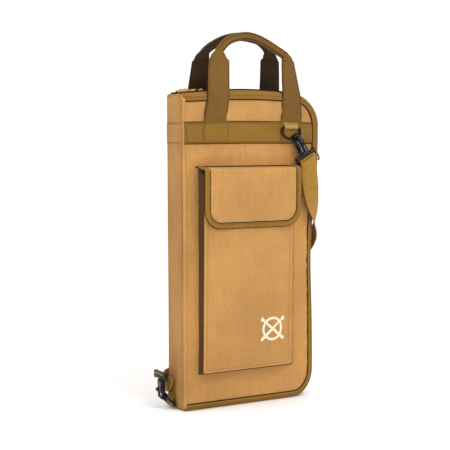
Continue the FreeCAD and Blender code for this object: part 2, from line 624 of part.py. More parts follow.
adjuster_frame = frame_at(Vector(10, 44, 105), Y_AXIS, Vector(0.83, 0, 0.55).normalize())
hole = size("strap_width") / 2 + size("adjuster_clear")
edge = hole + size("adjuster_side")
thick, long = size("adjuster_thick") / 2, size("adjuster_length") / 2
bar, path = size("adjuster_side") / 2, size("strap_path") / 2
adjuster = block((-edge, edge), (-thick, thick), (-long, long))
for low, high in ((-long + size("adjuster_end"), -bar), (bar, long - size("adjuster_end"))):
    adjuster = adjuster.cut(block((-hole, hole), (-thick - 1, thick + 1), (low, high)))
adjuster = adjuster.cut(block((-hole, hole), (-path, path), (-long - 1, long + 1)))
shaped("strap_adjuster", adjuster, adjuster_frame)


# ---- zip sliders ------------------------------------------------------------------------------------------


def slider_shape():
    """A slider on the zip side: a plate over the coils with a crown, and a plate behind the tapes."""
    half, wide, plate = size("slider_length") / 2, size("slider_width") / 2, size("slider_plate")
    outer = size("body_width") / 2 + size("coil_proud") + size("slider_clear")
    inner = size("body_width") / 2 - size("binding_proud") - size("tape") - size("slider_clear")
    over = block((outer, outer + plate), (-wide, wide), (-half, half))
    under = block((inner - plate, inner), (-wide, wide), (-half, half))
    long, across = size("crown_length") / 2, size("crown_width") / 2
    crown_top = outer + plate + size("crown_height")
    crown = block((outer + plate - 0.2, crown_top), (-across, across), (-long, long))
    pivot = Vector(outer + plate + size("pull_stand_off"), 0, 0)
    reach = Y_AXIS * (2 * wide)
    bore = rod(size("pull_wire") / 2 + size("pull_clear"), pivot - reach, pivot + reach)
    return Part.makeCompound([over.fuse(crown).cut(bore).removeSplitter(), under])


def pull_shape():
    """A long wire loop that hangs down from the crown's bore, flat against the side of the bag."""
    radius, drop = size("pull_radius"), size("pull_radius") + size("pull_straight")
    low = drop + radius
    path = Part.Wire([
        Part.Arc(Vector(0, -radius, -radius), Vector(0, 0, 0), Vector(0, radius, -radius)).toShape(),
        Part.LineSegment(Vector(0, radius, -radius), Vector(0, radius, -drop)).toShape(),
        Part.Arc(Vector(0, radius, -drop), Vector(0, 0, -low), Vector(0, -radius, -drop)).toShape(),
        Part.LineSegment(Vector(0, -radius, -drop), Vector(0, -radius, -radius)).toShape(),
    ])
    section = Part.Wire([Part.makeCircle(size("pull_wire") / 2, Vector(0, -radius, -radius), Z_AXIS)])
    return path.makePipeShell([section], True, False)


crown_x = (size("body_width") / 2 + size("coil_proud") + size("slider_clear") + size("slider_plate")
           + size("pull_stand_off"))
for prefix in ("upper", "lower"):
    height, tilt = size(f"{prefix}_slider_height"), size(f"{prefix}_pull_tilt")
    shaped(f"{prefix}_slider", slider_shape(), Placement(Vector(0, 0, height), Rotation()))
    shaped(f"{prefix}_pull", pull_shape(), Placement(Vector(crown_x, 0, height), Rotation(Y_AXIS, -tilt)))


# ---- checks and files -------------------------------------------------------------------------------------


def sub_parts():
    """Every object that is a sub-part: bodies, and solids that no body or boolean takes in."""
    for thing in DOC.Objects:
        if thing.TypeId == "PartDesign::Body" or (thing.TypeId.startswith("Part::") and not thing.InList):
            yield thing


DOC.recompute()
for thing in DOC.Objects:
    failed = [state for state in thing.State if state in ("Invalid", "Error")]
    if failed:
        raise RuntimeError(f"{thing.Label} did not build: {thing.State}")

finished = list(sub_parts())
for part in finished:
    if part.Shape.isNull() or not part.Shape.isValid() or not part.Shape.Solids:
        raise RuntimeError(f"{part.Label} has no valid solid")

os.makedirs("parts", exist_ok=True)
for part in finished:
    part.Shape.exportStep(f"parts/{part.Label}.step")
    print(f"{part.Label}: {len(part.Shape.Solids)} solid(s), {part.Shape.Volume:.0f} mm3")
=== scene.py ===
"""Looks of a drum stick bag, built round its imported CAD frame.

Metres, in the frame's own axes: X from the spine to the zip side, -Y towards the user, Z up.
"""

import bisect
import bmesh
import bpy
import json
from math import copysign, cos, exp, hypot, pi, radians, sin, sqrt, tanh
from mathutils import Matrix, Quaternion, Vector, bvhtree, noise


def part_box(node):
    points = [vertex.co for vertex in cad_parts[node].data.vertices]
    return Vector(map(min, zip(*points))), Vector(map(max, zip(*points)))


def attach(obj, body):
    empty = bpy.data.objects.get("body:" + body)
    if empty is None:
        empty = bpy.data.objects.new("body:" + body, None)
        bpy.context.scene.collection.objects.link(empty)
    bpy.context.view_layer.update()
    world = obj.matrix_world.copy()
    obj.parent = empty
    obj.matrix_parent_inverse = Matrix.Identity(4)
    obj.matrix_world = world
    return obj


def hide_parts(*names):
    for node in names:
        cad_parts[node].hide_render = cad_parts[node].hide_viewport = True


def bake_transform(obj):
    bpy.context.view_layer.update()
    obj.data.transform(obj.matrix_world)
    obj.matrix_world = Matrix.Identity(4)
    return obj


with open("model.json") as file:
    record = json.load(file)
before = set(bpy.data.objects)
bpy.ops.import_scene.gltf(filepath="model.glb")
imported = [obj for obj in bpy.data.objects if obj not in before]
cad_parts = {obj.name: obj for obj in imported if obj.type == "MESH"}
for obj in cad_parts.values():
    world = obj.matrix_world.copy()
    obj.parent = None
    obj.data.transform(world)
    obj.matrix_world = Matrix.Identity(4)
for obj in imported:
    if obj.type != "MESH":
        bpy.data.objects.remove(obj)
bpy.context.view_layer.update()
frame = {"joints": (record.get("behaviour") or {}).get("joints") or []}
JOINTS = {joint["name"]: joint for joint in frame["joints"]}
X_AXIS, Y_AXIS, Z_AXIS = Vector((1, 0, 0)), Vector((0, 1, 0)), Vector((0, 0, 1))
FRONT, BACK = -1, 1
HALVES = (("front", FRONT), ("back", BACK))
HANDS = (-1, 1)      # left and right

# ---- sizes, from the frame ---------------------------------------------------------------------------

canvas_high, spine_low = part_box("back_canvas")[1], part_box("spine_canvas")[0]
strip_low, strip_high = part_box("front_strip")
LEFT, RIGHT, TOP, HALF = spine_low.x, canvas_high.x, canvas_high.z, canvas_high.y
MIDDLE = TOP / 2
CORNER = 0.045       # radius of the zip side's corners
EDGE = 0.007         # how softly the padded face rolls over to the rim
FOLD = 0.003         # the tighter roll at the spine
CROWN = 0.0035       # how far the padding swells a face
TOP_RISE = 0.0065    # how far the filled bag lifts its top edge between the corners
DRAW_IN = 0.0085     # how far the zip side pulls in below the webbing
WAIST = 0.0045       # and how much more at mid height
ROOF_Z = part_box("flap_roof")[1].z + 0.0006
RIM_END = 0.005      # where the binding stops, either side of the plane that the halves meet on


# ---- materials ---------------------------------------------------------------------------------------


class Shader:
    """A node material whose uniform values sit on the shader's own sockets."""

    def __init__(self, name, **values):
        self.material = bpy.data.materials.new(name)
        self.material.use_nodes = True
        self.tree = self.material.node_tree
        self.base = self.tree.nodes["Principled BSDF"]
        for socket, value in values.items():
            self.base.inputs[socket.replace("_", " ")].default_value = value

    def node(self, kind, inputs=None, **settings):
        made = self.tree.nodes.new("ShaderNode" + kind)
        for key, value in settings.items():
            setattr(made, key, value)
        for key, value in (inputs or {}).items():
            if isinstance(value, bpy.types.NodeSocket):
                self.tree.links.new(value, made.inputs[key])
            else:
                made.inputs[key].default_value = value
        return made

    def into(self, socket, value):
        self.tree.links.new(value, self.base.inputs[socket])

    def math(self, operation, a, b=0.0):
        return self.node("Math", {0: a, 1: b}, operation=operation).outputs[0]

    def mix(self, factor, a, b, blend="MIX"):
        made = self.node("Mix", {0: factor}, data_type="RGBA", blend_type=blend)
        for slot, value in ((6, a), (7, b)):
            if isinstance(value, bpy.types.NodeSocket):
                self.tree.links.new(value, made.inputs[slot])
            else:
                made.inputs[slot].default_value = (*value, 1)
        return made.outputs[2]

    def ramp(self, value, low, high):
        return self.node("MapRange", {0: value, 1: low, 2: high}).outputs[0]

    def noise(self, vector, scale, detail=3.0):
        return self.node("TexNoise", {"Vector": vector, "Scale": scale, "Detail": detail}).outputs[0]

    def wave(self, vector, pitch, direction):
        turns = 2 * pi / 20 / pitch
        return self.node("TexWave", {"Vector": vector, "Scale": turns}, wave_type="BANDS",
                         bands_direction=direction, wave_profile="SIN").outputs[1]

    def bump(self, height, distance, strength=1.0, normal=None):
        inputs = {"Height": height, "Distance": distance, "Strength": strength}
        if normal:
            inputs["Normal"] = normal
        return self.node("Bump", inputs).outputs[0]


def linear(red, green, blue):
    """A screen colour, 0 to 255, as the linear values that shaders use."""
    shares = (red / 255, green / 255, blue / 255)
    return tuple(c / 12.92 if c < 0.04045 else ((c + 0.055) / 1.055) ** 2.4 for c in shares)


def shade(colour, factor):
    """A colour made darker or paler."""
    return tuple(min(1.0, c * factor) for c in colour)


def woven(name, colour, pitch, relief=0.00025, worn=0.10, patch=0.12, slubs=0.10, ribs=None, sheen=0.04):
    """Cloth: a plain weave in UV metres, uneven threads, slow fading, paler rubbed places, and painted shade
    in the weave's hollows.
    """
    s = Shader(name, Roughness=0.86, Sheen_Weight=sheen, Sheen_Roughness=0.5)
    s.base.inputs["Specular IOR Level"].default_value = 0.12
    uv = s.node("UVMap").outputs[0]
    place = s.node("TexCoord").outputs["Object"]
    warp, weft = s.wave(uv, pitch, "X"), s.wave(uv, pitch, "Y")
    over = s.node("TexChecker", {"Vector": uv, "Scale": 1 / pitch}).outputs[1]
    weave = s.node("Mix", {0: over, 2: warp, 3: weft}).outputs[0]
    if ribs:
        parts = s.node("SeparateXYZ", {0: uv})
        slant = s.math("PINGPONG", parts.outputs[0], ribs * 3)
        along = s.math("ADD", parts.outputs[1], s.math("MULTIPLY", slant, 0.6))
        rib = s.wave(s.node("CombineXYZ", {1: along}).outputs[0], ribs, "Y")
        weave = s.node("Mix", {0: 0.65, 2: weave, 3: rib}).outputs[0]
    stretched = s.node("Mapping", {"Vector": uv, "Scale": (1400, 60, 1)}).outputs[0]
    crossed = s.node("Mapping", {"Vector": uv, "Scale": (60, 1400, 1)}).outputs[0]
    threads = s.math("ADD", s.noise(stretched, 1.0), s.noise(crossed, 1.0))
    streaks = s.noise(s.node("Mapping", {"Vector": uv, "Scale": (420, 22, 1)}).outputs[0], 1.0, 2.0)
    mottle = s.math("ADD", s.noise(place, 300.0, 2.0), streaks)
    faded = s.ramp(s.noise(place, 9.0, 4.0), 0.35, 0.65)
    rubbed = s.ramp(s.noise(place, 45.0, 5.0), 0.55, 0.75)
    tint = s.mix(faded, shade(colour, 1 - patch), shade(colour, 1 + patch))
    tint = s.mix(s.math("MULTIPLY", rubbed, worn), tint, shade(colour, 1.35))
    tint = s.mix(s.math("MULTIPLY", s.ramp(mottle, 0.8, 1.2), 0.22), tint, shade(colour, 0.45))
    tint = s.mix(s.math("MULTIPLY", s.ramp(threads, 0.8, 1.25), slubs), tint, shade(colour, 0.62))
    # painted shade: darker where the weave dips, for the shade in its hollows
    tint = s.mix(s.math("MULTIPLY", s.ramp(weave, 0.35, 0.0), 0.35), tint, shade(colour, 0.5))
    s.into("Base Color", tint)
    s.into("Roughness", s.node("MapRange", {0: weave, 3: 0.92, 4: 0.78}).outputs[0])
    fine = s.bump(weave, relief)
    s.into("Normal", s.bump(s.noise(place, 60.0, 4.0), 0.0012, 0.5, fine))
    return s.material


def ribbed(name, *colour):
    """Heavy webbing, with slanting ribs."""
    return woven(name, linear(*colour), 0.0011, relief=0.0004, ribs=0.0018, slubs=0.2)


def moulded(name, colour, rough, coat=0.0, spec=0.5):
    """A moulded or enamelled surface: orange-peel, hairline scuffs, and wear that shows on its ridges."""
    s = Shader(name, Specular_IOR_Level=spec, Coat_Weight=coat, Coat_Roughness=0.12)
    place = s.node("TexCoord").outputs["Object"]
    peel = s.noise(place, 900.0, 2.0)
    brushed = s.node("Mapping", {"Vector": place, "Scale": (300, 2600, 300)}).outputs[0]
    scuffs = s.ramp(s.noise(brushed, 1.0), 0.62, 0.74)
    ridge = s.ramp(s.node("NewGeometry").outputs["Pointiness"], 0.54, 0.62)
    spots = s.math("MULTIPLY", ridge, s.ramp(s.noise(place, 420.0), 0.45, 0.6))
    scuffed = s.mix(scuffs, colour, shade(colour, 1.6))
    s.into("Base Color", s.mix(s.math("MULTIPLY", spots, 0.35), scuffed, (0.35, 0.35, 0.36)))
    grime = s.math("MULTIPLY", s.noise(place, 160.0), 0.16)
    s.into("Roughness", s.math("ADD", s.math("ADD", grime, rough - 0.08), s.math("MULTIPLY", scuffs, 0.2)))
    s.into("Normal", s.bump(peel, 0.00008, 0.6))
    return s.material


TAN = linear(212, 157, 91)
OLIVE = linear(148, 107, 42)
canvas = woven("canvas", TAN, 0.0008)
# painted shade: a darker copy of the canvas for faces turned from the key lamp, the spine and the pocket's
# right bellows
canvas_side_painted_shade = woven("canvas_side_painted_shade", shade(TAN, 0.86), 0.0008)
# painted shade: near-black canvas for the pocket's left bellows, which stand in shadow
canvas_painted_shade = woven("canvas_gusset_painted_shade", shade(TAN, 0.2), 0.0008)
# painted highlight: a paler webbing for the upper tab, for light on its fold over the ring's bar
tab_web_painted_highlight = ribbed("tab_web_painted_highlight", 184, 146, 76)
handle_web = ribbed("handle_web", 124, 90, 40)
webbing = ribbed("webbing", 146, 107, 44)
binding = woven("binding", OLIVE, 0.0007, relief=0.0003, ribs=0.0012, slubs=0.15)
zip_tape = woven("zip_tape", linear(44, 32, 18), 0.0006)
strap_web = ribbed("strap_web", 174, 129, 54)
# painted highlight: paler canvas for the pocket's edge cord, for light catching it
edge_painted_highlight = woven("edge_painted_highlight", shade(TAN, 1.3), 0.0006)
rim_shaded = woven("rim_shaded", linear(74, 52, 26), 0.0007, relief=0.0003, ribs=0.0012, slubs=0.15)
shaded_webbing = ribbed("shaded_webbing", 66, 47, 27)
# dark thread for stitching; the same dark colour on thin cords paints shade lines along edges and seams
dark_thread_and_painted_shade = woven("dark_thread_and_painted_shade", linear(46, 32, 16), 0.0003)
lining = woven("lining", linear(70, 58, 44), 0.0005, sheen=0.4)
padding = woven("padding", linear(60, 58, 56), 0.0015, relief=0.0001, slubs=0.0)
pile = woven("hook_and_loop", linear(84, 66, 40), 0.0009, relief=0.0009, sheen=0.8)
thread = woven("thread", linear(168, 122, 66), 0.0003)
olive_thread = woven("olive_thread", linear(112, 82, 38), 0.0003)
# painted highlight: a pale bluish grey for the hook's rails, for the lamp's reflection on them
rails_painted_highlight = moulded("rails_painted_highlight", linear(96, 100, 124), 0.14, coat=0.6)
acetal = moulded("acetal", linear(4, 4, 7), 0.34, coat=0.05, spec=0.14)
enamel = moulded("enamel", linear(4, 4, 6), 0.3, coat=0.08, spec=0.18)
coil_nylon = moulded("coil_nylon", linear(70, 52, 28), 0.45)
ink = woven("ink", linear(248, 236, 206), 0.0008, relief=0.0001, worn=0.0, patch=0.03, slubs=0.05, sheen=0.0)


# ---- mesh tools --------------------------------------------------------------------------------------


class Shape:
    """Points, faces and UVs in metres, which end as one mesh."""

    def __init__(self):
        self.points, self.faces, self.uvs = [], [], []

    def rows(self, rows, wrap=False, caps=False):
        """A sheet through rows of points; wrap closes each row into a ring, caps closes the two ends."""
        first, count = len(self.points), len(rows[0])
        middle = list(rows[len(rows) // 2])
        u_at = running(middle + middle[:1] if wrap else middle)
        v_at = running([sum(row, Vector()) / count for row in rows])
        if v_at[-1] < 1e-4:
            v_at = running([row[0] for row in rows])
        for row in rows:
            self.points.extend(row)
        for i in range(len(rows) - 1):
            for j in range(count if wrap else count - 1):
                k = (j + 1) % count
                a, b = first + i * count, first + (i + 1) * count
                self.faces.append((a + j, a + k, b + k, b + j))
                self.uvs.append(((u_at[j], v_at[i]), (u_at[j + 1], v_at[i]),
                                 (u_at[j + 1], v_at[i + 1]), (u_at[j], v_at[i + 1])))
        if caps:
            for start, order in ((first, 1), (first + (len(rows) - 1) * count, -1)):
                ring = list(range(start, start + count))[::order]
                self.faces.append(tuple(ring))
                self.uvs.append(tuple((self.points[p].x, self.points[p].z) for p in ring))
        return self

    def piece(self, name, material, thick=0.0, levels=0):
        """The finished object, with touching points merged and its normals made consistent."""
        mesh = bpy.data.meshes.new(name)
        mesh.from_pydata([tuple(p) for p in self.points], [], self.faces)
        layer = mesh.uv_layers.new(name="UVMap")
        flat = [uv for face in self.uvs for uv in face]
        for loop, uv in zip(layer.data, flat):
            loop.uv = uv
        work = bmesh.new()
        work.from_mesh(mesh)
        bmesh.ops.remove_doubles(work, verts=work.verts, dist=2e-5)
        bmesh.ops.recalc_face_normals(work, faces=work.faces)
        work.to_mesh(mesh)
        work.free()
        mesh.materials.append(material)
        mesh.polygons.foreach_set("use_smooth", [True] * len(mesh.polygons))
        made = bpy.data.objects.new(name, mesh)
        bpy.context.scene.collection.objects.link(made)
        if thick:
            solid = made.modifiers.new("thickness", "SOLIDIFY")
            solid.thickness, solid.offset = thick, 0
        if levels:
            smooth = made.modifiers.new("smooth", "SUBSURF")
            smooth.levels = smooth.render_levels = levels
        return made


def uneven(x, y, z):
    """Smooth noise at a point of its own space, about -1 to 1."""
    return noise.noise(Vector((x, y, z)))


def spread(low, high, count):
    """Evenly spaced values, both ends included."""
    return [low + (high - low) * k / (count - 1) for k in range(count)]


def running(points):
    """Distance along a line of points, from its first."""
    total = [0.0]
    for a, b in zip(points, points[1:]):
        total.append(total[-1] + (b - a).length)
    return total


def at_distance(line, lengths, at):
    """The point at a distance along a line, and the way that the line runs there."""
    j = max(0, min(bisect.bisect_left(lengths, at) - 1, len(lengths) - 2))
    share = (at - lengths[j]) / max(lengths[j + 1] - lengths[j], 1e-9)
    return line[j].lerp(line[j + 1], share), (line[j + 1] - line[j]).normalized()


def wear(piece, body, slot, *nodes):
    """A piece goes on its body and stands for its CAD nodes; slot is not used."""
    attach(piece, body)
    if nodes:
        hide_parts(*nodes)
    return piece


def joint_spot(name):
    """The place that a joint turns about or slides from."""
    return Vector(JOINTS[name]["pos_m"])


def bend(piece, slot, bodies, start, end, *nodes):
    """For cloth that crosses the joint between two bodies: bakes its placement into its mesh and hides the
    CAD nodes that it stands for; it is not put on a body.
    """
    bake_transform(piece)
    if nodes:
        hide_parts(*nodes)
    return piece


def worn_sheet(name, rows, material, body, slot, *nodes, thick=0.0, levels=0):
    """A sheet of cloth through rows of points, on its body."""
    return wear(Shape().rows(rows).piece(name, material, thick, levels), body, slot, *nodes)


def worn_cord(name, line, radius, material, body, slot, sides=6):
    """A cord or a raised seam along a line, on its body."""
    return wear(tube(line, radius, sides=sides).piece(name, material), body, slot)


def smooth_line(stations, steps):
    """Catmull-Rom through stations, each a tuple of vectors or numbers."""
    out = []
    for i in range(len(stations) - 1):
        a, b = stations[max(i - 1, 0)], stations[i]
        c, d = stations[i + 1], stations[min(i + 2, len(stations) - 1)]
        for k in range(steps):
            t = k / steps
            out.append(tuple(
                q + (r - p) * (0.5 * t) + (p * 2 - q * 5 + r * 4 - s) * (0.5 * t * t)
                + (q * 3 - p - r * 3 + s) * (0.5 * t ** 3) for p, q, r, s in zip(a, b, c, d)))
    return out + [stations[-1]]


def oval(middle, across, facing, half_width, half_thick, square=4.0, count=16):
    """A rounded-rectangle section as a ring of points."""
    ring = []
    for k in range(count):
        angle = 2 * pi * (k + 0.5) / count
        c, s = cos(angle), sin(angle)
        x = copysign(abs(c) ** (2 / square), c)
        y = copysign(abs(s) ** (2 / square), s)
        ring.append(middle + across * (half_width * x) + facing * (half_thick * y))
    return ring


def web_ring(middle, across, facing, half_width, half_thick):
    """A webbing section: flat faces with enough points across to bend, and rounded selvedges."""
    w, t = half_width, half_thick
    upper = [(-w, 0.35), (-w + 0.7 * t, 1), (-w * 0.62, 1), (-w * 0.25, 1), (w * 0.25, 1), (w * 0.62, 1),
             (w - 0.7 * t, 1), (w, 0.35)]
    lower = [(x, -y) for x, y in reversed(upper)]
    return [middle + across * x + facing * (y * t) for x, y in upper + lower]


def web_rings(line, width, thick):
    """Webbing sections along (middle, across, facing) spots."""
    rings = []
    for middle, across, facing in line:
        across = across.normalized()
        facing = (facing - across * facing.dot(across)).normalized()
        rings.append(web_ring(middle, across, facing, width / 2, thick / 2))
    return Shape().rows(rings, wrap=True, caps=True)


def tube(line, radius, shape=None, sides=10, closed=False):
    """A round wire along a line of points."""
    shape = shape or Shape()
    rings, normal = [], None
    for i, point in enumerate(line):
        before = line[i - 1] if (i or closed) else point
        after = line[(i + 1) % len(line)] if (i + 1 < len(line) or closed) else point
        tangent = (after - before).normalized()
        if normal is None:
            normal = tangent.orthogonal().normalized()
        normal = (normal - tangent * normal.dot(tangent)).normalized()
        side = tangent.cross(normal)
        rings.append([point + normal * (radius * cos(a)) + side * (radius * sin(a))
                      for a in (2 * pi * k / sides for k in range(sides))])
    if closed:
        rings.append(rings[0])
    return shape.rows(rings, wrap=True, caps=not closed)


def relaxed(made, held, cap, pressure=4.0, spare=0.012, frames=20):
    """Settles a sheet as filled cloth: spare cloth between held points, pushed out, no further than a cap."""
    mesh = made.data
    before = [v.co.copy() for v in mesh.vertices]
    pins = made.vertex_groups.new(name="held")
    for v in mesh.vertices:
        weight = held(v.co)
        if weight > 0:
            pins.add([v.index], weight, "REPLACE")
    cloth = made.modifiers.new("cloth", "CLOTH")
    made.modifiers.move(len(made.modifiers) - 1, 0)
    kept = [m for m in made.modifiers if m != cloth]
    for m in kept:
        m.show_viewport = False
    settings = cloth.settings
    settings.vertex_group_mass, settings.pin_stiffness, settings.quality = pins.name, 10, 6
    settings.mass, settings.tension_stiffness, settings.compression_stiffness = 0.3, 30, 30
    settings.shear_stiffness, settings.bending_stiffness = 8, 1.2
    settings.use_pressure, settings.uniform_pressure_force = True, pressure
    settings.shrink_min = -spare
    settings.effector_weights.gravity = 0
    cloth.point_cache.frame_start, cloth.point_cache.frame_end = 1, frames
    scene = bpy.context.scene
    for step in range(1, frames + 1):
        scene.frame_set(step)
    settled_mesh = made.evaluated_get(bpy.context.evaluated_depsgraph_get()).to_mesh()
    after = [v.co.copy() for v in settled_mesh.vertices]
    made.to_mesh_clear()
    made.modifiers.remove(cloth)
    made.vertex_groups.remove(pins)
    for m in kept:
        m.show_viewport = True
    scene.frame_set(1)
    for v, a, b in zip(mesh.vertices, before, after):
        shift = b - a
        size = shift.length
        if size > 0:
            v.co = a + shift * (cap * tanh(size / cap) / size * (1 - held(a)))
    mesh.update()
    return made


def laid(made, surface, proud, way):
    """Sets a flat piece's points down on a surface, a little proud of it."""
    mesh = surface.data
    tree = bvhtree.BVHTree.FromPolygons([v.co for v in mesh.vertices], [p.vertices[:] for p in mesh.polygons])
    for v in made.data.vertices:
        hit = tree.ray_cast(v.co - way * 0.05, way)[0]
        if hit:
            v.co = hit - way * (proud + 0.00002 * (v.index % 2))
    return made


def stitches(name, body, runs, material, slot, pitch=0.0034, length=0.0023, radius=0.00032):
    """Sewing along runs; each is a line of points and the way that it faces."""
    shape = Shape()
    for line, facing in runs:
        lengths = running(line)
        for k in range(max(1, int(lengths[-1] / pitch))):
            middle_at = (k + 0.5) * pitch
            a, b = (at_distance(line, lengths, middle_at + half)[0] for half in (-length / 2, length / 2))
            tangent = (b - a).normalized()
            side = tangent.cross(facing).normalized()
            rings = []
            for share, size in ((0.0, 0.35), (0.2, 1.0), (0.8, 1.0), (1.0, 0.35)):
                middle = a.lerp(b, share) + facing * (radius * 0.4 * size)
                rings.append([middle + (side * cos(t) + facing * sin(t)) * (radius * size)
                              for t in (pi * m / 2 for m in range(4))])
            shape.rows(rings, wrap=True, caps=True)
    return wear(shape.piece(name, material), body, slot)


# ---- the padded halves -------------------------------------------------------------------------------


def settled(x, z):
    """Where a flat point of a half goes once the bag is filled."""
    share = min(1.0, max(0.0, (x - LEFT) / (RIGHT - LEFT)))
    rise = TOP_RISE * sin(pi * share) * (max(z, 0) / TOP) ** 12
    height = (z - 0.235) / 0.095
    below = 1 / (1 + exp((z - 0.315) / 0.024))
    draw = (DRAW_IN * below + WAIST * exp(-height * height)) * max(0.0, x / RIGHT) ** 3
    return x - draw, z + rise


def rim_gap(x, z):
    """How far a point of a face lies inside the zip-side rim."""
    over, up = x - (RIGHT - CORNER), max(z - (TOP - CORNER), CORNER - z)
    if over > 0 and up > 0:
        return CORNER - hypot(over, up)
    return min(RIGHT - x, TOP - z, z)


def roll(gap, radius):
    """How far a face has dropped back at a distance from its edge."""
    if gap >= radius:
        return 0.0
    reach = radius - max(gap, 0.0)
    return radius - sqrt(radius * radius - reach * reach)


DENTS = (  # creases of the front near the foot: two ends, width and depth
    ((-0.072, 0.052), (-0.050, 0.020), 0.0045, 0.0011), ((-0.048, 0.040), (-0.030, 0.014), 0.0040, 0.0010),
    ((-0.098, 0.090), (-0.104, 0.030), 0.0050, 0.0008), ((0.072, 0.060), (0.092, 0.034), 0.0050, 0.0009),
    ((0.084, 0.330), (0.090, 0.150), 0.0070, 0.0010),
)


def dented(x, z):
    """How far the creases press the front in at a point."""
    total = 0.0
    for (x0, z0), (x1, z1), width, deep in DENTS:
        run_x, run_z = x1 - x0, z1 - z0
        share = min(1.0, max(0.0, ((x - x0) * run_x + (z - z0) * run_z) / (run_x ** 2 + run_z ** 2)))
        away = hypot(x - x0 - run_x * share, z - z0 - run_z * share)
        total += deep * exp(-(away / width) ** 2) * sin(pi * (0.08 + 0.84 * share))
    return total


def ripple(x, z, side, size=0.0013):
    """The slow unevenness of padded canvas, and its puckers near the rim."""
    gap = max(0.0, rim_gap(x, z))
    slow = uneven(x * 14, side * 3.1, z * 9) + 0.5 * uneven(x * 40, side * 5.3, z * 26)
    pucker = uneven(x * 130, side * 9.7, z * 130) * exp(-((gap - 0.018) / 0.008) ** 2)
    dents = dented(x, z) if side == FRONT else 0.0
    return ((slow + 0.5 * pucker) * size - dents) * min(1.0, max(0.0, gap - 0.013) / 0.012)


def depth(x, z, side):
    """How far out the face of a half is, from the plane where the halves meet."""
    wide = max(0.0, 1 - (x / RIGHT) ** 2)
    tall = max(0.0, 1 - ((z - MIDDLE) / MIDDLE) ** 2)
    swell = CROWN * (wide * tall) ** 0.6
    return HALF + swell - roll(rim_gap(x, z), EDGE) - roll(x - LEFT, FOLD) + ripple(x, z, side)


def on_face(x, z, side, proud=0.0):
    """A point on, or standing proud of, a half's face."""
    gone = settled(x, z)
    return Vector((gone[0], side * (depth(x, z, side) + proud), gone[1]))


def rounded(x, z, right=RIGHT, low=0.0, high=TOP, radius=CORNER):
    """Takes a point of a square-cornered grid to a sheet with rounded zip-side corners."""
    over = x - (right - radius)
    up = z - (high - radius) if z > MIDDLE else z - (low + radius)
    if over <= 0 or (z > MIDDLE and up <= 0) or (z <= MIDDLE and up >= 0):
        return x, z
    share = max(over, abs(up)) / hypot(over, up)
    return x - over + over * share, z + up * (share - 1)


def brink_of(face):
    """The foot, the zip side and the top of a face given as rows, as one line."""
    return face[0] + [row[-1] for row in face[1:]] + face[-1][-2::-1]


def graded(low, high, fine_low=True, fine_high=True, step=0.006):
    """Values from low to high, closer together at the ends that roll over."""
    near = [0.0003, 0.001, 0.0022, 0.004, 0.006, 0.009, 0.013, 0.018]
    start = [low] + ([low + n for n in near] if fine_low else [])
    end = ([high - n for n in reversed(near)] if fine_high else []) + [high]
    count = max(1, round((end[0] - start[-1]) / step))
    inner = [start[-1] + (end[0] - start[-1]) * k / count for k in range(1, count)]
    return start + inner + end


def rim_flat(inset, straight=44, wider=0.0):
    """(x, z) along the foot, the zip side and the top, at an inset from the outline.

    wider takes the zip side that much further in.
    """
    radius = CORNER - inset
    line = [(x, inset) for x in spread(LEFT, RIGHT - CORNER, 31)[:-1]]
    line += [(RIGHT - CORNER + radius * sin(a), CORNER - radius * cos(a))
             for a in spread(0.0, pi / 2, 15)[:-1]]
    line += [(RIGHT - inset, z) for z in spread(CORNER, TOP - CORNER, straight + 1)[:-1]]
    line += [(RIGHT - CORNER + radius * cos(a), TOP - CORNER + radius * sin(a))
             for a in spread(0.0, pi / 2, 15)[:-1]]
    line += [(x, TOP - inset) for x in spread(RIGHT - CORNER, LEFT, 31)]
    return [(x - wider * max(0.0, (x - RIGHT + CORNER) / radius), z) for x, z in line]


def rim_line(inset, side, out, straight=44, lowest=-1.0):
    """The same path, settled, at a depth from the plane where the halves meet."""
    flat = (settled(*spot) for spot in rim_flat(inset, straight))
    return [Vector((x, side * out, max(z, lowest))) for x, z in flat]


def facing_rim(inset, side, proud):
    """The same path laid on the face."""
    return [on_face(x, z, side, proud) for x, z in rim_flat(inset, wider=0.3 * inset)]


def within(value, low, high, soft):
    """1 within a range, falling to 0 at a distance outside it."""
    away = max(low - value, value - high, 0.0)
    return max(0.0, 1 - away / soft)


def held_on_half(p, side):
    """How firmly sewing holds a point of a half's canvas."""
    if side * p.y < HALF - EDGE - 0.001:
        return 1.0
    held = max(within(rim_gap(p.x, p.z), -1.0, 0.0142, 0.006), within(p.x, LEFT - 0.01, LEFT + 0.007, 0.006),
               within(p.z, strip_low.z - 0.001, strip_high.z + 0.001, 0.006))
    if side == FRONT:
        low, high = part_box("pocket_gusset")
        across = within(p.x, low.x - 0.004, high.x + 0.006, 0.006)
        held = max(held, across * within(p.z, low.z - 0.006, ROOF_Z + 0.003, 0.006))
    return held


def build_shell(prefix, body, side):
    """The canvas: one face that rolls over into a wall behind the binding."""
    across, up = graded(LEFT, RIGHT), graded(0.0, TOP)
    face = [[on_face(*rounded(x, z), side) for x in across] for z in up]
    shape = Shape().rows(face)
    brink = brink_of(face)
    walls = [brink]
    for out, tuck in ((0.016, 0.0), (0.013, 0.0004), (0.0105, 0.0008)):
        walls.append([Vector((p.x - tuck * (p.x > 0), side * out, p.z - copysign(tuck, p.z - MIDDLE)))
                      for p in brink])
    shape.rows(walls)
    shell = shape.piece(prefix + "_shell", canvas, thick=0.0012)
    relaxed(shell, lambda p: held_on_half(p, side), 0.0024)
    wear(shell, body, "canvas", prefix + "_canvas")


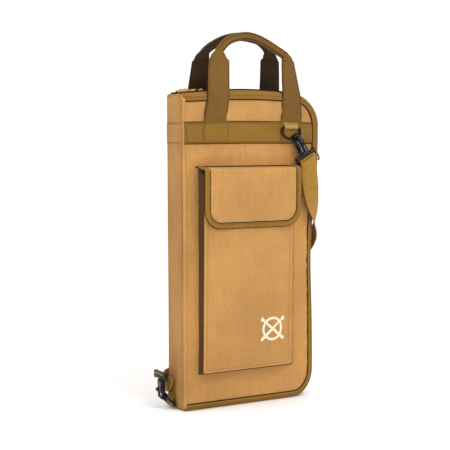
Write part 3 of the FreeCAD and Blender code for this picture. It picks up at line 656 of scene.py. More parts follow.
def build_rim(prefix, body, side):
    """The bound rim: a band from the face's seam over the roll to the zip."""
    ring = []
    for angle in (26, 40, 55, 72, 90):
        a = radians(angle)
        reach = EDGE + 0.0014
        ring.append((EDGE - reach * sin(a), HALF - EDGE + reach * cos(a)))
    ring += [(-0.0017, 0.0165), (-0.0019, 0.013), (-0.0019, 0.0095), (-0.0015, 0.0065), (-0.0006, 0.0052),
             (0.0015, RIM_END)]
    rows = [facing_rim(gap, side, 0.0016) for gap in (0.0098, 0.0086, 0.0072, 0.0058, 0.0044)]
    rows += [rim_line(gap, side, out, lowest=0.0007) for gap, out in ring]
    worn_sheet(prefix + "_bound_rim", rows, binding if side == FRONT else rim_shaded, body, "binding",
               prefix + "_binding", thick=0.0009)
    stitches(prefix + "_rim_stitching", body,
             [([p + Vector((0, side * 0.0011, 0)) for p in facing_rim(0.0050, side, 0.0013)], Y_AXIS * side)],
             olive_thread, "binding")
    # painted shade: dark cords along the binding's inner seam and its outer edge, where shade falls
    worn_cord(prefix + "_rim_seam_painted_shade", facing_rim(0.0104, side, 0.0013), 0.0010, dark_thread_and_painted_shade, body, "binding")
    worn_cord(prefix + "_rim_edge_cord_painted_shade", rim_line(-0.0030, side, 0.0125, lowest=0.0016), 0.0014, dark_thread_and_painted_shade, body,
              "binding", sides=8)


def build_zip(prefix, body, side):
    """The zip's tape along the rim, and its coil's teeth."""
    rows = [rim_line(inset, side, out) for inset, out in (
        (0.0022, 0.0088), (0.0016, 0.0052), (0.0008, 0.0042), (0.0006, 0.0028), (0.0004, 0.0016))]
    worn_sheet(prefix + "_tape", rows, zip_tape, body, "zip", prefix + "_zip_tape", thick=0.0008)
    coil = Shape()
    line = rim_line(0.0002, side, 0.0013, straight=60)
    lengths, pitch = running(line), 0.0016
    for k in range(int(lengths[-1] / pitch)):
        middle, along = at_distance(line, lengths, (k + (0.5 if side == BACK else 0.0)) * pitch)
        out = Vector((along.z, 0, -along.x))
        reach = Y_AXIS * (side * 0.0016)
        tooth = [middle + reach * 0.9 - out * 0.0006, middle + reach * 0.2 + out * 0.0002,
                 middle - reach * 0.75 + out * 0.0003, middle - reach * 0.75 - out * 0.0007]
        tube([p + along * (0.0004 * (i - 1.5) / 1.5) for i, p in enumerate(tooth)], 0.00042, coil, sides=5)
    wear(coil.piece(prefix + "_coil", coil_nylon), body, "zip", prefix + "_zip_coil")


for prefix, side in HALVES:
    for build in (build_shell, build_rim, build_zip):
        build(prefix, prefix + "_half", side)

# ---- the spine ---------------------------------------------------------------------------------------

SPINE_EDGE = HALF - FOLD
SPINE_CREASE = 0.0172    # where the spine's cloth is pressed in, either side of its middle
BAND_LOW, BAND_HIGH = strip_low.z, strip_high.z
# a fold's hidden web, from the spine round to the half: how far in from the left, and down from the face
FOLD_WEB = ((0.0018, 0.0110), (0.0011, 0.0075), (0.0008, 0.0048), (0.0012, 0.0030), (0.0024, 0.0017),
            (0.0042, 0.0012), (0.0072, 0.0012), (0.0105, 0.0013))


def on_spine(y, z, proud=0.0):
    """A point on the spine's cloth: a shallow swell between two pressed creases."""
    share = y / HALF
    swell = 0.0017 * (1 - share * share) + 0.0007 * uneven(y * 60, 7.1, z * 14)
    crease = 0.0012 * sum(exp(-((y - at) / 0.0018) ** 2) for at in (-SPINE_CREASE, SPINE_CREASE))
    ends = 0.0022 * exp(-(min(z, TOP - z) / 0.006) ** 2)
    return Vector((LEFT - swell + crease + ends - proud, y, z))


def build_spine():
    """The spine's cloth and the band across it."""
    across = spread(-SPINE_EDGE, SPINE_EDGE, 33)
    up = graded(0.0012, TOP + 0.0016)
    rows = [[on_spine(y, z) for y in across] for z in up]
    # painted shade: the spine's cloth and its band use the darker side copy of the canvas
    worn_sheet("spine_cloth", rows, canvas_side_painted_shade, "spine", "canvas", "spine_canvas", thick=0.0012)
    rows = [[on_spine(y, z, 0.0009 + 0.0004 * sin(pi * i / 8) ** 0.5)
             for i, z in enumerate(spread(BAND_LOW, BAND_HIGH, 9))] for y in across]
    worn_sheet("spine_cross_band", rows, canvas_side_painted_shade, "spine", "canvas", "spine_band", thick=0.0008)
    lines = [[on_spine(y, z, 0.0016) for y in across] for z in (BAND_LOW + 0.002, BAND_HIGH - 0.002)]
    lines += [[on_spine(y, z, 0.0006) for z in up[6:-6]] for y in (-0.0222, 0.0222)]
    stitches("spine_stitching", "spine", [(line, -X_AXIS) for line in lines], thread, "canvas")


def build_folds():
    """The corded seams at the two folds, and the hidden webs that fill the folds."""
    for prefix, side in HALVES:
        line = [Vector((LEFT + 0.0007, side * (HALF - 0.0016), z)) for z in spread(0.0015, TOP - 0.0015, 60)]
        worn_cord(prefix + "_fold_seam", line, 0.0014, canvas, prefix + "_half", "canvas", sides=8)
        line = [on_face(LEFT + 0.0042, z, side, 0.0008) for z in spread(0.006, TOP - 0.006, 60)]
        stitches(prefix + "_fold_stitching", prefix + "_half", [(line, Y_AXIS * side)], thread, "canvas")
    for prefix, side in HALVES:
        pivot = joint_spot("spine_fold" if side == FRONT else "back_fold")
        rows = [[Vector((LEFT + inward, side * (HALF - down), z)) for inward, down in FOLD_WEB]
                for z in graded(0.0016, TOP - 0.0016)]
        web = Shape().rows(rows).piece(prefix + "_fold_web", canvas, thick=0.0008)
        bend(web, "canvas", ("spine", prefix + "_half"), pivot + Vector((0.0004, -side * 0.0062, 0)),
             pivot + Vector((0.0064, 0.0, 0)))


def build_spine_inside():
    """The spine's padding and lining."""
    pad_low, pad_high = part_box("spine_foam")
    rings = []
    for z, share in ((pad_low.z, 0.7), (pad_low.z + 0.003, 0.95), (pad_low.z + 0.01, 1.0), (MIDDLE, 1.0),
                     (pad_high.z - 0.01, 1.0), (pad_high.z - 0.003, 0.95), (pad_high.z, 0.7)):
        middle = Vector(((pad_low.x + pad_high.x) / 2, 0, z))
        rings.append(oval(middle, Y_AXIS, X_AXIS, pad_high.y * share, (pad_high.x - pad_low.x) / 2 * share))
    pad = Shape().rows(rings, wrap=True, caps=True).piece("spine_padding", padding)
    wear(pad, "spine", "foam", "spine_foam")
    in_low, in_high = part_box("spine_lining")

    def on_lining(y, z):
        swell = 0.0008 * cos(pi * y / 0.04) + 0.0004 * uneven(y * 90, 2.2, z * 30)
        return Vector((in_high.x - 0.0006 + swell, y, z))

    across = spread(in_low.y, in_high.y, 13)
    rows = [[on_lining(y, z) for y in across] for z in graded(in_low.z, in_high.z)]
    worn_sheet("spine_inner_cloth", rows, lining, "spine", "lining", "spine_lining", thick=0.0006)


for build in (build_spine, build_folds, build_spine_inside):
    build()

# ---- webbing across the halves, and the handles ------------------------------------------------------

handle_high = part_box("back_handle")[1]
LEG_HALF = 0.019
LEG_X = handle_high.x - LEG_HALF
GRIP_HALF, GRIP_THICK = 0.0064, 0.0041
LEAN = 0.0215          # how far the two grips lean in to meet
LEG_FREE = 0.447       # where a leg's own stitching starts, above the bag
LEG_HEIGHTS = (0.4100, 0.4180, 0.4300, 0.4380, 0.4395, 0.4410, 0.4440, 0.4550, 0.4700, 0.4850, 0.5000, 0.5150)
# (x, z, half width) of a handle's left and right shoulders, and (x, z) along the grip between them
SHOULDERS = {FRONT: {-1: (-0.0550, 0.5330, 0.0176), 1: (0.0685, 0.5350, 0.0108)},
             BACK: {-1: (-0.0670, 0.5320, 0.0150), 1: (0.0560, 0.5380, 0.0165)}}
GRIPS = {FRONT: ((-0.0520, 0.5485), (-0.0400, 0.5605), (-0.0250, 0.5680), (-0.0020, 0.5720), (0.0175, 0.5685),
                 (0.0355, 0.5605), (0.0515, 0.5515), (0.0640, 0.5445)),
         BACK: ((-0.0610, 0.5490), (-0.0490, 0.5580), (-0.0280, 0.5680), (-0.0035, 0.5725), (0.0270, 0.5690),
                (0.0420, 0.5610), (0.0500, 0.5530))}


def over_leg(x):
    """1 where a handle's leg passes beneath the strip, 0 away from it."""
    away = abs(abs(x) - LEG_X) - LEG_HALF
    return min(1.0, max(0.0, 0.5 - away / 0.003))


def build_strip(prefix, side):
    """The webbing across a half, which lifts over the handle's two legs."""
    low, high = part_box(prefix + "_strip")
    rows = [[on_face(x, z, side, 0.0012 + 0.0013 * over_leg(x) * min(1.0, i / 2))
             for i, z in enumerate(spread(low.z, high.z, 11))] for x in spread(low.x + 0.001, high.x, 90)]
    worn_sheet(prefix + "_cross_webbing", rows, webbing, prefix + "_half", "webbing", prefix + "_strip",
               thick=0.0014, levels=1)
    sewn = spread(low.x + 0.004, high.x - 0.002, 80)
    lines = [[on_face(x, z, side, 0.0022 + 0.0013 * over_leg(x)) for x in sewn]
             for z in (low.z + 0.002, high.z - 0.002)]
    across = (low.x + 0.004, -LEG_X - LEG_HALF - 0.002, -LEG_X + LEG_HALF + 0.002, LEG_X - LEG_HALF - 0.002,
              high.x - 0.003)
    lines += [[on_face(x, z, side, 0.0022) for z in spread(low.z + 0.003, high.z - 0.003, 9)] for x in across]
    runs = [(line, Y_AXIS * side) for line in lines]
    stitches(prefix + "_webbing_stitching", prefix + "_half", runs, dark_thread_and_painted_shade, "webbing", radius=0.00036)
    # painted shade: dark cords along the webbing's top and bottom edges, for the shade where it stands off
    # the canvas
    edges = Shape()
    for z in (low.z - 0.0002, high.z + 0.0002):
        tube([on_face(x, z, side, 0.0011) for x in spread(low.x + 0.001, high.x, 80)], 0.0006, edges, sides=6)
    wear(edges.piece(prefix + "_webbing_edges_painted_shade", dark_thread_and_painted_shade), prefix + "_half", "webbing")


def build_handle(prefix, side):
    """One length of webbing: two flat legs whose edges fold in, at pointed shoulders, to a narrow grip."""
    def out(z):
        lean = max(0.0, z - TOP - 0.002) / (handle_high.z - TOP)
        return side * (HALF + 0.0026 - LEAN * lean ** 0.9)

    def leg(hand, z):
        """The middle and half width of a leg at a height."""
        x, shoulder_z, half = SHOULDERS[side][hand]
        share = min(1.0, max(0.0, z - strip_high.z) / (shoulder_z - strip_high.z))
        return hand * LEG_X + (x - hand * LEG_X) * share, LEG_HALF + (half - LEG_HALF) * share ** 1.3

    def leg_edge(hand, facing, inset, lift, stop, count):
        """A line down one edge of a leg, below its shoulder."""
        edge = []
        for z in spread(LEG_FREE, SHOULDERS[side][hand][1] - stop, count):
            x, half = leg(hand, z)
            edge.append(Vector((x + facing * (half - inset), out(z) + side * lift, z)))
        return edge

    legs = {}
    for hand, tip in zip(HANDS, (GRIPS[side][0], GRIPS[side][-1])):
        top = SHOULDERS[side][hand][1]
        stops = []
        for z in (*LEG_HEIGHTS, top):
            x, half = leg(hand, z)
            bow = 0.0010 * uneven(side * 4.0, hand * 1.7, z * 30)
            proud = 0.0 if z < strip_high.z else 0.0003
            stops.append((Vector((x + bow, out(z) + side * proud, z)), half, 0.0009))
        x, half = leg(hand, top)
        for share in (0.15, 0.35, 0.6, 0.85):
            z = top + (tip[1] - top) * share
            stops.append((Vector((x + (tip[0] - x) * share, out(z), z)), half + (GRIP_HALF - half) * share,
                          0.0013 + (GRIP_THICK - 0.0013) * share ** 0.7))
        legs[hand] = stops
    arch = [(Vector((x, out(z), z)), GRIP_HALF, GRIP_THICK)
            for x, z in (tuple(p) for p in smooth_line([Vector(p) for p in GRIPS[side]], 6))]
    path = legs[-1] + arch + legs[1][::-1]
    rings, ways = [], []
    for i, (middle, wide, thick) in enumerate(path):
        way = path[min(i + 1, len(path) - 1)][0] - path[max(i - 1, 0)][0]
        if i < len(legs[-1]) - 3 or i >= len(path) - len(legs[1]) + 3:
            way = Vector((0, 0, copysign(1, way.z)))
        across = Y_AXIS.cross(way).normalized()
        ways.append(across)
        rings.append(web_ring(middle, across, Y_AXIS * side, wide, thick))
    made = Shape().rows(rings, wrap=True, caps=True).piece(prefix + "_carry_handle",
                                                           handle_web if side == FRONT else shaded_webbing)
    fold = Vector((0, side * HALF, joint_spot("front_handle_swing").z))
    bend(made, "webbing", (prefix + "_half", prefix + "_handle"), fold - Z_AXIS * 0.002,
         fold + Z_AXIS * 0.005, prefix + "_handle")
    edges = [(hand, facing) for hand in HANDS for facing in (-1, 1)]
    # painted shade: dark cords down the legs' edges, for the shade beside them
    selvedges = Shape()
    for edge in edges:
        tube(leg_edge(*edge, 0.0, -0.0002, 0.001, 14), 0.0007, selvedges, sides=6)
    wear(selvedges.piece(prefix + "_handle_edges_painted_shade", dark_thread_and_painted_shade), prefix + "_handle", "webbing")
    runs = [(leg_edge(*edge, 0.002, 0.0014, 0.002, 12), Y_AXIS * side) for edge in edges]
    for lift in (0.62, -0.62):
        runs.append(([middle + across * (wide * lift) + Y_AXIS * (side * (thick + 0.0001))
                      for (middle, wide, thick), across in zip(arch, ways[len(legs[-1]):])], Y_AXIS * side))
    stitches(prefix + "_handle_stitching", prefix + "_handle", runs,
             olive_thread if side == FRONT else dark_thread_and_painted_shade, "webbing")


for prefix, side in HALVES:
    build_strip(prefix, side)
    build_handle(prefix, side)

# ---- the accessory pocket ----------------------------------------------------------------------------

pocket_low, pocket_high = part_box("pocket_face")
POCKET_LEFT, POCKET_RIGHT = pocket_low.x, pocket_high.x
POCKET_FOOT, POCKET_TOP = pocket_low.z, pocket_high.z
LOW_DEPTH, TOP_DEPTH = 0.014, -pocket_low.y - HALF
BASE_LEFT, BASE_RIGHT, BASE_FOOT = POCKET_LEFT - 0.003, POCKET_RIGHT + 0.016, POCKET_FOOT - 0.004


def on_pocket(x, z, proud=0.0):
    """A point on the pocket's front, which is deeper at its mouth than at its foot."""
    share = (z - POCKET_FOOT) / (POCKET_TOP - POCKET_FOOT)
    middle, half = (POCKET_LEFT + POCKET_RIGHT) / 2, (POCKET_RIGHT - POCKET_LEFT) / 2
    full = max(0.0, sin(pi * min(share, 0.999))) ** 0.6
    swell = 0.0018 * max(0.0, 1 - ((x - middle) / half) ** 2) ** 0.7 * full
    gap = min(x - POCKET_LEFT, POCKET_RIGHT - x, z - POCKET_FOOT)
    slow = 0.0009 * (uneven(x * 22, 3.3, z * 7) + 0.6 * uneven(x * 60, 8.8, z * 24))
    out = HALF + LOW_DEPTH + (TOP_DEPTH - LOW_DEPTH) * share
    out += swell - roll(gap, 0.0028) + slow * min(1.0, gap / 0.01)
    return Vector((x, -out - proud, z))


def build_pocket():
    """The pocket's face, the bellows behind it and the hem of its mouth."""
    across = graded(POCKET_LEFT, POCKET_RIGHT)
    up = graded(POCKET_FOOT, POCKET_TOP, fine_high=False)
    face = [[on_pocket(x, z) for x in across] for z in up]
    panel = Shape().rows(face).piece("pocket_panel", canvas, thick=0.0011)

    def held(p):
        return max(within(p.x, -9, POCKET_LEFT + 0.005, 0.006), within(p.x, POCKET_RIGHT - 0.005, 9, 0.006),
                   within(p.z, -9, POCKET_FOOT + 0.005, 0.006), within(p.z, POCKET_TOP - 0.014, 9, 0.01))

    relaxed(panel, held, 0.0028, pressure=2.5, spare=0.016)
    wear(panel, "front_half", "canvas", "pocket_face")
    brink = [row[0] for row in reversed(face)] + face[0][1:] + [row[-1] for row in face[1:]]
    rows = []
    for share in spread(0.0, 1.0, 9):
        row = []
        for p in brink:
            side = 1.0 if p.x > (POCKET_LEFT + POCKET_RIGHT) / 2 else -1.0
            at_foot = max(0.0, 1 - (p.z - POCKET_FOOT) / 0.012)
            to_x = BASE_RIGHT if side > 0 else BASE_LEFT
            edge = POCKET_RIGHT if side > 0 else POCKET_LEFT
            near = max(0.0, 1 - abs(p.x - edge) / 0.01)
            base_x = p.x + (to_x - edge) * near
            at_mouth = max(0.0, 1 - (POCKET_TOP - p.z) / 0.05)
            base_z = p.z + (BASE_FOOT - POCKET_FOOT) * at_foot + (ROOF_Z - POCKET_TOP) * at_mouth
            base = on_face(base_x, base_z, FRONT, 0.0008)
            tuck = sin(pi * share) * (0.0048 + 0.0016 * uneven(p.z * 26, side, 1.5))
            spot = p.lerp(base, share)
            spot.x -= side * tuck * near * (1 - at_foot * 0.6)
            spot.z += tuck * 0.5 * at_foot * (1 - near * 0.5)
            row.append(spot)
        rows.append(row)
    turn = len(brink) - len(face)
    # painted shade: the left bellows are near-black canvas for the shadow they stand in; the right bellows
    # take the darker side copy of the canvas
    for name, material, part in (("pocket_bellows_left_painted_shade", canvas_painted_shade, slice(0, turn)),
                                 ("pocket_bellows_right", canvas_side_painted_shade, slice(turn - 1, None))):
        worn_sheet(name, [row[part] for row in rows], material, "front_half", "canvas", "pocket_gusset",
                   thick=0.0010)

    def inside_edge(inset, skip, lift):
        """A line round the face's left, foot and right, a little way in."""
        line = [on_pocket(POCKET_LEFT + inset, z, lift) for z in reversed(up[skip:])]
        line += [on_pocket(x, POCKET_FOOT + inset, lift) for x in across[skip:-skip]]
        return line + [on_pocket(POCKET_RIGHT - inset, z, lift) for z in up[skip:]]

    # painted highlight: the cord along the pocket face's edges is paler canvas, for light catching that edge
    worn_cord("pocket_edge_seam_painted_highlight", inside_edge(0.0006, 3, 0.0004), 0.0010, edge_painted_highlight, "front_half", "canvas",
              sides=8)
    stitches("pocket_stitching", "front_half", [(inside_edge(0.0038, 5, 0.0007), -Y_AXIS)], thread, "canvas")
    hem = [[on_pocket(x, POCKET_TOP + z, lift) for x in spread(POCKET_LEFT, POCKET_RIGHT, 40)]
           for z, lift in ((-0.011, 0.0006), (-0.005, 0.0009), (-0.0006, 0.0008), (0.0006, 0.0),
                           (-0.0006, -0.0009), (-0.010, -0.0009))]
    worn_sheet("pocket_mouth_hem", hem, binding, "front_half", "binding", thick=0.0006)
    return panel


pocket_panel = build_pocket()

flap_low, flap_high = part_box("flap_binding")
FLAP_LEFT, FLAP_RIGHT, FLAP_FOOT = flap_low.x, flap_high.x, flap_low.z
FLAP_FOLD = joint_spot("flap_lift")
ROOF_LENGTH, TURN = 0.0208, 0.0038
ARC_LENGTH = TURN * pi / 2
PANEL_LENGTH = ROOF_Z - TURN - FLAP_FOOT
FLAP_LENGTH = ROOF_LENGTH + ARC_LENGTH + PANEL_LENGTH
FLAP_CORNER = 0.028


def on_flap(x, run, proud=0.0):
    """A point on the flap's one sheet: out as a roof, round a fold and down the pocket's front."""
    root = -HALF - 0.0016
    arc = sin(pi * min(1.0, max(0.0, (x - FLAP_LEFT) / (FLAP_RIGHT - FLAP_LEFT))))
    sag = 0.0011 * arc
    slow = 0.0008 * uneven(x * 25, 4.4, run * 20)
    if run < ROOF_LENGTH:
        share = run / ROOF_LENGTH
        return Vector((x, root - run, ROOF_Z - sag * share + proud + 0.0012 * (1 - share) ** 2))
    over = run - ROOF_LENGTH
    centre = Vector((x, root - ROOF_LENGTH, ROOF_Z - TURN - sag))
    if over < ARC_LENGTH:
        angle = over / TURN
        return centre + Vector((0, -sin(angle), cos(angle))) * (TURN + proud)
    down = over - ARC_LENGTH
    share = down / PANEL_LENGTH
    swell = 0.0016 * sin(pi * min(1.0, share)) ** 0.8 * arc ** 0.5
    y = centre.y - TURN - swell + 0.0016 * share - slow * min(1.0, share * 4) - proud
    return Vector((x, y, centre.z - down + sag * share))


def flap_grid(x, run):
    """Takes a square-cornered point to the flap with its two rounded lower corners."""
    up = run - (FLAP_LENGTH - FLAP_CORNER)
    inner_left, inner_right = FLAP_LEFT + FLAP_CORNER, FLAP_RIGHT - FLAP_CORNER
    over = x - inner_right if x > inner_right else x - inner_left if x < inner_left else 0.0
    if up <= 0 or over == 0.0:
        return x, run
    share = max(abs(over), up) / hypot(over, up)
    return x - over + over * share, run + up * (share - 1)


def flap_edge(inset):
    """The flap's free edge in (x, run), inset by a distance: down the left, along the foot, up the right."""
    left, right, foot = FLAP_LEFT + inset, FLAP_RIGHT - inset, FLAP_LENGTH - inset
    radius = max(FLAP_CORNER - inset, 0.001)
    turns = [(radius * (1 - cos(a)), radius * (1 - sin(a))) for a in spread(0.0, pi / 2, 12)[1:]]
    line = [(left, run) for run in spread(0.0004, foot - radius, 26)]
    line += [(left + a, foot - b) for a, b in turns]
    line += [(x, foot) for x in spread(left + radius, right - radius, 22)[1:]]
    line += [(right - radius + (radius - b), foot - a) for a, b in turns]
    return line + [(right, run) for run in spread(foot - radius, 0.0004, 26)[1:]]


def build_flap():
    """The flap's cloth, its bound edge with its stitching and dark cords of painted shade, a painted shadow
    line at its root, and the fastener beneath it.
    """
    start = Vector((0, FLAP_FOLD.y + 0.0055, ROOF_Z))
    end = Vector((0, FLAP_FOLD.y, ROOF_Z - 0.0095))
    across = graded(FLAP_LEFT + 0.0008, FLAP_RIGHT - 0.0008, step=0.005)
    runs = spread(0.0, ROOF_LENGTH, 8) + spread(ROOF_LENGTH, ROOF_LENGTH + ARC_LENGTH, 7)[1:]
    runs += graded(ROOF_LENGTH + ARC_LENGTH, FLAP_LENGTH - 0.0008, fine_low=False, step=0.005)[1:]
    cloth = Shape().rows([[on_flap(*flap_grid(x, run)) for x in across] for run in runs])
    bend(cloth.piece("flap_cloth", canvas, thick=0.0012), "canvas", ("front_half", "flap"), start, end,
         "flap_roof", "flap_panel")
    rows = [[on_flap(x, run, proud) for x, run in flap_edge(inset)] for inset, proud in (
        (0.0078, 0.0008), (0.0072, 0.0014), (0.0040, 0.0019), (0.0012, 0.0016), (0.0000, 0.0008),
        (-0.0004, 0.0), (0.0000, -0.0008), (0.0012, -0.0014), (0.0040, -0.0016), (0.0076, -0.0012))]
    edge = Shape().rows(rows).piece("flap_bound_edge", binding, thick=0.0006)
    bend(edge, "binding", ("front_half", "flap"), start, end, "flap_binding")
    line = [on_flap(x, run, 0.0020) for x, run in flap_edge(0.0064) if run > ROOF_LENGTH + ARC_LENGTH]
    stitches("flap_stitching", "flap", [(line, -Y_AXIS)], olive_thread, "binding")
    # painted shade: dark cords along the binding's inner and outer edges
    for name, inset, proud in (("flap_inner_seam_painted_shade", 0.0084, 0.0006), ("flap_outer_seam_painted_shade", -0.0006, 0.0)):
        line = [on_flap(x, run, proud) for x, run in flap_edge(inset) if run > ROOF_LENGTH + ARC_LENGTH * 0.5]
        worn_cord(name, line, 0.0007, dark_thread_and_painted_shade, "flap", "binding")
    # painted shadow: a dark cord along the flap's root, under the roof
    across = spread(FLAP_LEFT - 0.004, FLAP_RIGHT + 0.002, 30)
    root = [on_face(x, ROOF_Z + 0.0016, FRONT, 0.0010) for x in across]
    worn_cord("flap_root_seam_painted_shadow", root, 0.0013, dark_thread_and_painted_shade, "front_half", "canvas")

    def under_flap(x, z):
        return on_flap(x, ROOF_LENGTH + ARC_LENGTH + (ROOF_Z - TURN - z), -0.0013)

    def over_pocket(x, z):
        return on_pocket(x, z, 0.0012)

    for name, body, node, place in (("flap_loop_patch", "flap", "flap_fastener", under_flap),
                                    ("pocket_hook_patch", "front_half", "pocket_fastener", over_pocket)):
        low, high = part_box(node)
        rows = [[place(x, z) for x in spread(low.x, high.x, 16)] for z in spread(low.z, high.z, 8)]
        worn_sheet(name, rows, pile, body, "fastener", node, thick=0.0010)


build_flap()

# ---- rings, tabs, snap hooks and swivels -------------------------------------------------------------

STAND_OFF = 0.004      # from a hook's eye to the middle of its stem
STRAP_WIDE, STRAP_THICK = 0.0305, 0.0016


class Mount:
    """A local frame for a ring or a hook: across, out from the bag, and along, which may be drawn out."""

    def __init__(self, origin, out, along, stretch=1.0):
        self.origin, self.stretch = Vector(origin), stretch
        self.out, self.along = out.normalized(), along.normalized()
        self.across = self.out.cross(self.along)

    def at(self, across, out, along):
        return self.origin + self.across * across + self.out * out + self.along * (along * self.stretch)


def ring_mount(prefix, out):
    """A ring's frame, from its bar towards the hook's joint."""
    bar, pivot = joint_spot(prefix + "_ring_swing"), joint_spot(prefix + "_hook_swing")
    along = (pivot - bar).normalized()
    return Mount(bar, out - along * out.dot(along), along)


def hook_mount(prefix, out, stretch=1.0, turn=0.0):
    """A hook's frame from its joints, turned in its own plane and drawn out a little."""
    eye = joint_spot(prefix + "_swivel_turn") - out * STAND_OFF
    along = Vector(JOINTS[prefix + "_bolt_slide"]["axis"])
    return Mount(eye, out, Quaternion(out, radians(turn)) @ along, stretch)


def build_ring(prefix, mount):
    """A D-ring of wire: straight at its bar, bowed away from it."""
    half, corner, drop, wire, bow = 0.0160, 0.004, 0.0095, 0.0020, 0.0095
    turns = [(half - corner + corner * sin(a), corner - corner * cos(a)) for a in spread(0.0, pi / 2, 6)[1:]]
    flat = [(x, 0.0) for x in spread(-half + corner, half - corner, 8)] + turns + [(half, drop * 0.9)]
    flat += [(half * cos(a), drop + bow * sin(a)) for a in spread(0.0, pi, 26)]
    flat += [(-half, drop * 0.9)] + [(-x, z) for x, z in reversed(turns)]
    line = [mount.at(x, 0, z) for x, z in flat]
    made = tube(line, wire, sides=12, closed=True).piece(prefix + "_ring_wire", enamel)
    wear(made, prefix + "_ring", "ring_metal", prefix + "_d_ring")


def build_tab(prefix, body, bar, out, along, tail, half_wide, cloth):
    """Webbing looped round a ring's bar, both ends sewn down to the bag."""
    mount = Mount(bar, out, along)
    loop = 0.0027
    stations = [(mount.at(0, -loop - 0.0001, z), mount.across, -mount.out) for z in (tail, tail * 0.5)]
    for degrees in (180, 215, 250, 290, 325, 360):
        angle = radians(degrees)
        facing = mount.out * cos(angle) + mount.along * sin(angle)
        stations.append((mount.origin + facing * loop, mount.across, facing))
    stations += [(mount.at(0, 0.0012, tail * 0.28), mount.across,
                  (mount.out + mount.along * 0.5).normalized()),
                 (mount.at(0, -0.0010, tail * 0.55), mount.across, mount.out),
                 (mount.at(0, -0.0012, tail), mount.across, mount.out)]
    made = web_rings(smooth_line(stations, 3), half_wide * 2, 0.0014).piece(prefix + "_tab_loop", cloth)
    wear(made, body, "webbing", prefix + "_ring_tab")
    sewn = [mount.at(x, -0.0002, tail * 0.72) for x in spread(-half_wide * 0.85, half_wide * 0.85, 6)]
    rungs = [(sewn, mount.out)]
    if tail > 0.02:
        rungs += [([mount.at(x, -0.0002, z) for z in spread(tail * 0.55, tail * 0.95, 6)], mount.out)
                  for x in (-half_wide * 0.8, half_wide * 0.8)]
    stitches(prefix + "_tab_stitching", body, rungs, olive_thread, "webbing", pitch=0.0028, length=0.0019)


def bar(shape, spots, across, facing, sizes, square=3.2):
    """A rounded moulded bar through spots, with a half width and half thickness at each."""
    rings = [oval(spot, across, facing, wide, thick, square) for spot, (wide, thick) in zip(spots, sizes)]
    shape.rows(rings, wrap=True, caps=True)


def capped(length_from, length_to, wide, thick, round_by=0.0008):
    """Stops and sizes for a bar whose two ends are rounded over."""
    stops = [(0.0, 0.55), (0.25 * round_by, 0.8), (round_by, 1.0)]
    out = [(length_from + t, (wide * s, thick * s)) for t, s in stops]
    out += [((length_from + length_to) / 2, (wide, thick))]
    return out + [(length_to - t, (wide * s, thick * s)) for t, s in reversed(stops)]


def long_bar(shape, mount, x, out, low, high, wide, thick, round_by=0.0008):
    """A rounded bar that runs along a hook."""
    stops = capped(low, high, wide, thick, round_by)
    bar(shape, [mount.at(x, out, z) for z, _ in stops], mount.across, mount.out, [size for _, size in stops])


def cross_bar(shape, mount, out, z, half, wide, thick, round_by=0.0008):
    """A rounded bar that runs across a hook."""
    stops = capped(-half, half, wide, thick, round_by)
    bar(shape, [mount.at(x, out, z) for x, _ in stops], mount.along, mount.out, [size for _, size in stops])


def turned(shape, mount, stops):
    """A round turned part on a hook's own axis, with a radius at each place along it."""
    rings = [oval(mount.at(0, STAND_OFF, z), mount.across, mount.out, r, r, 2.0, 18) for z, r in stops]
    shape.rows(rings, wrap=True, caps=True)


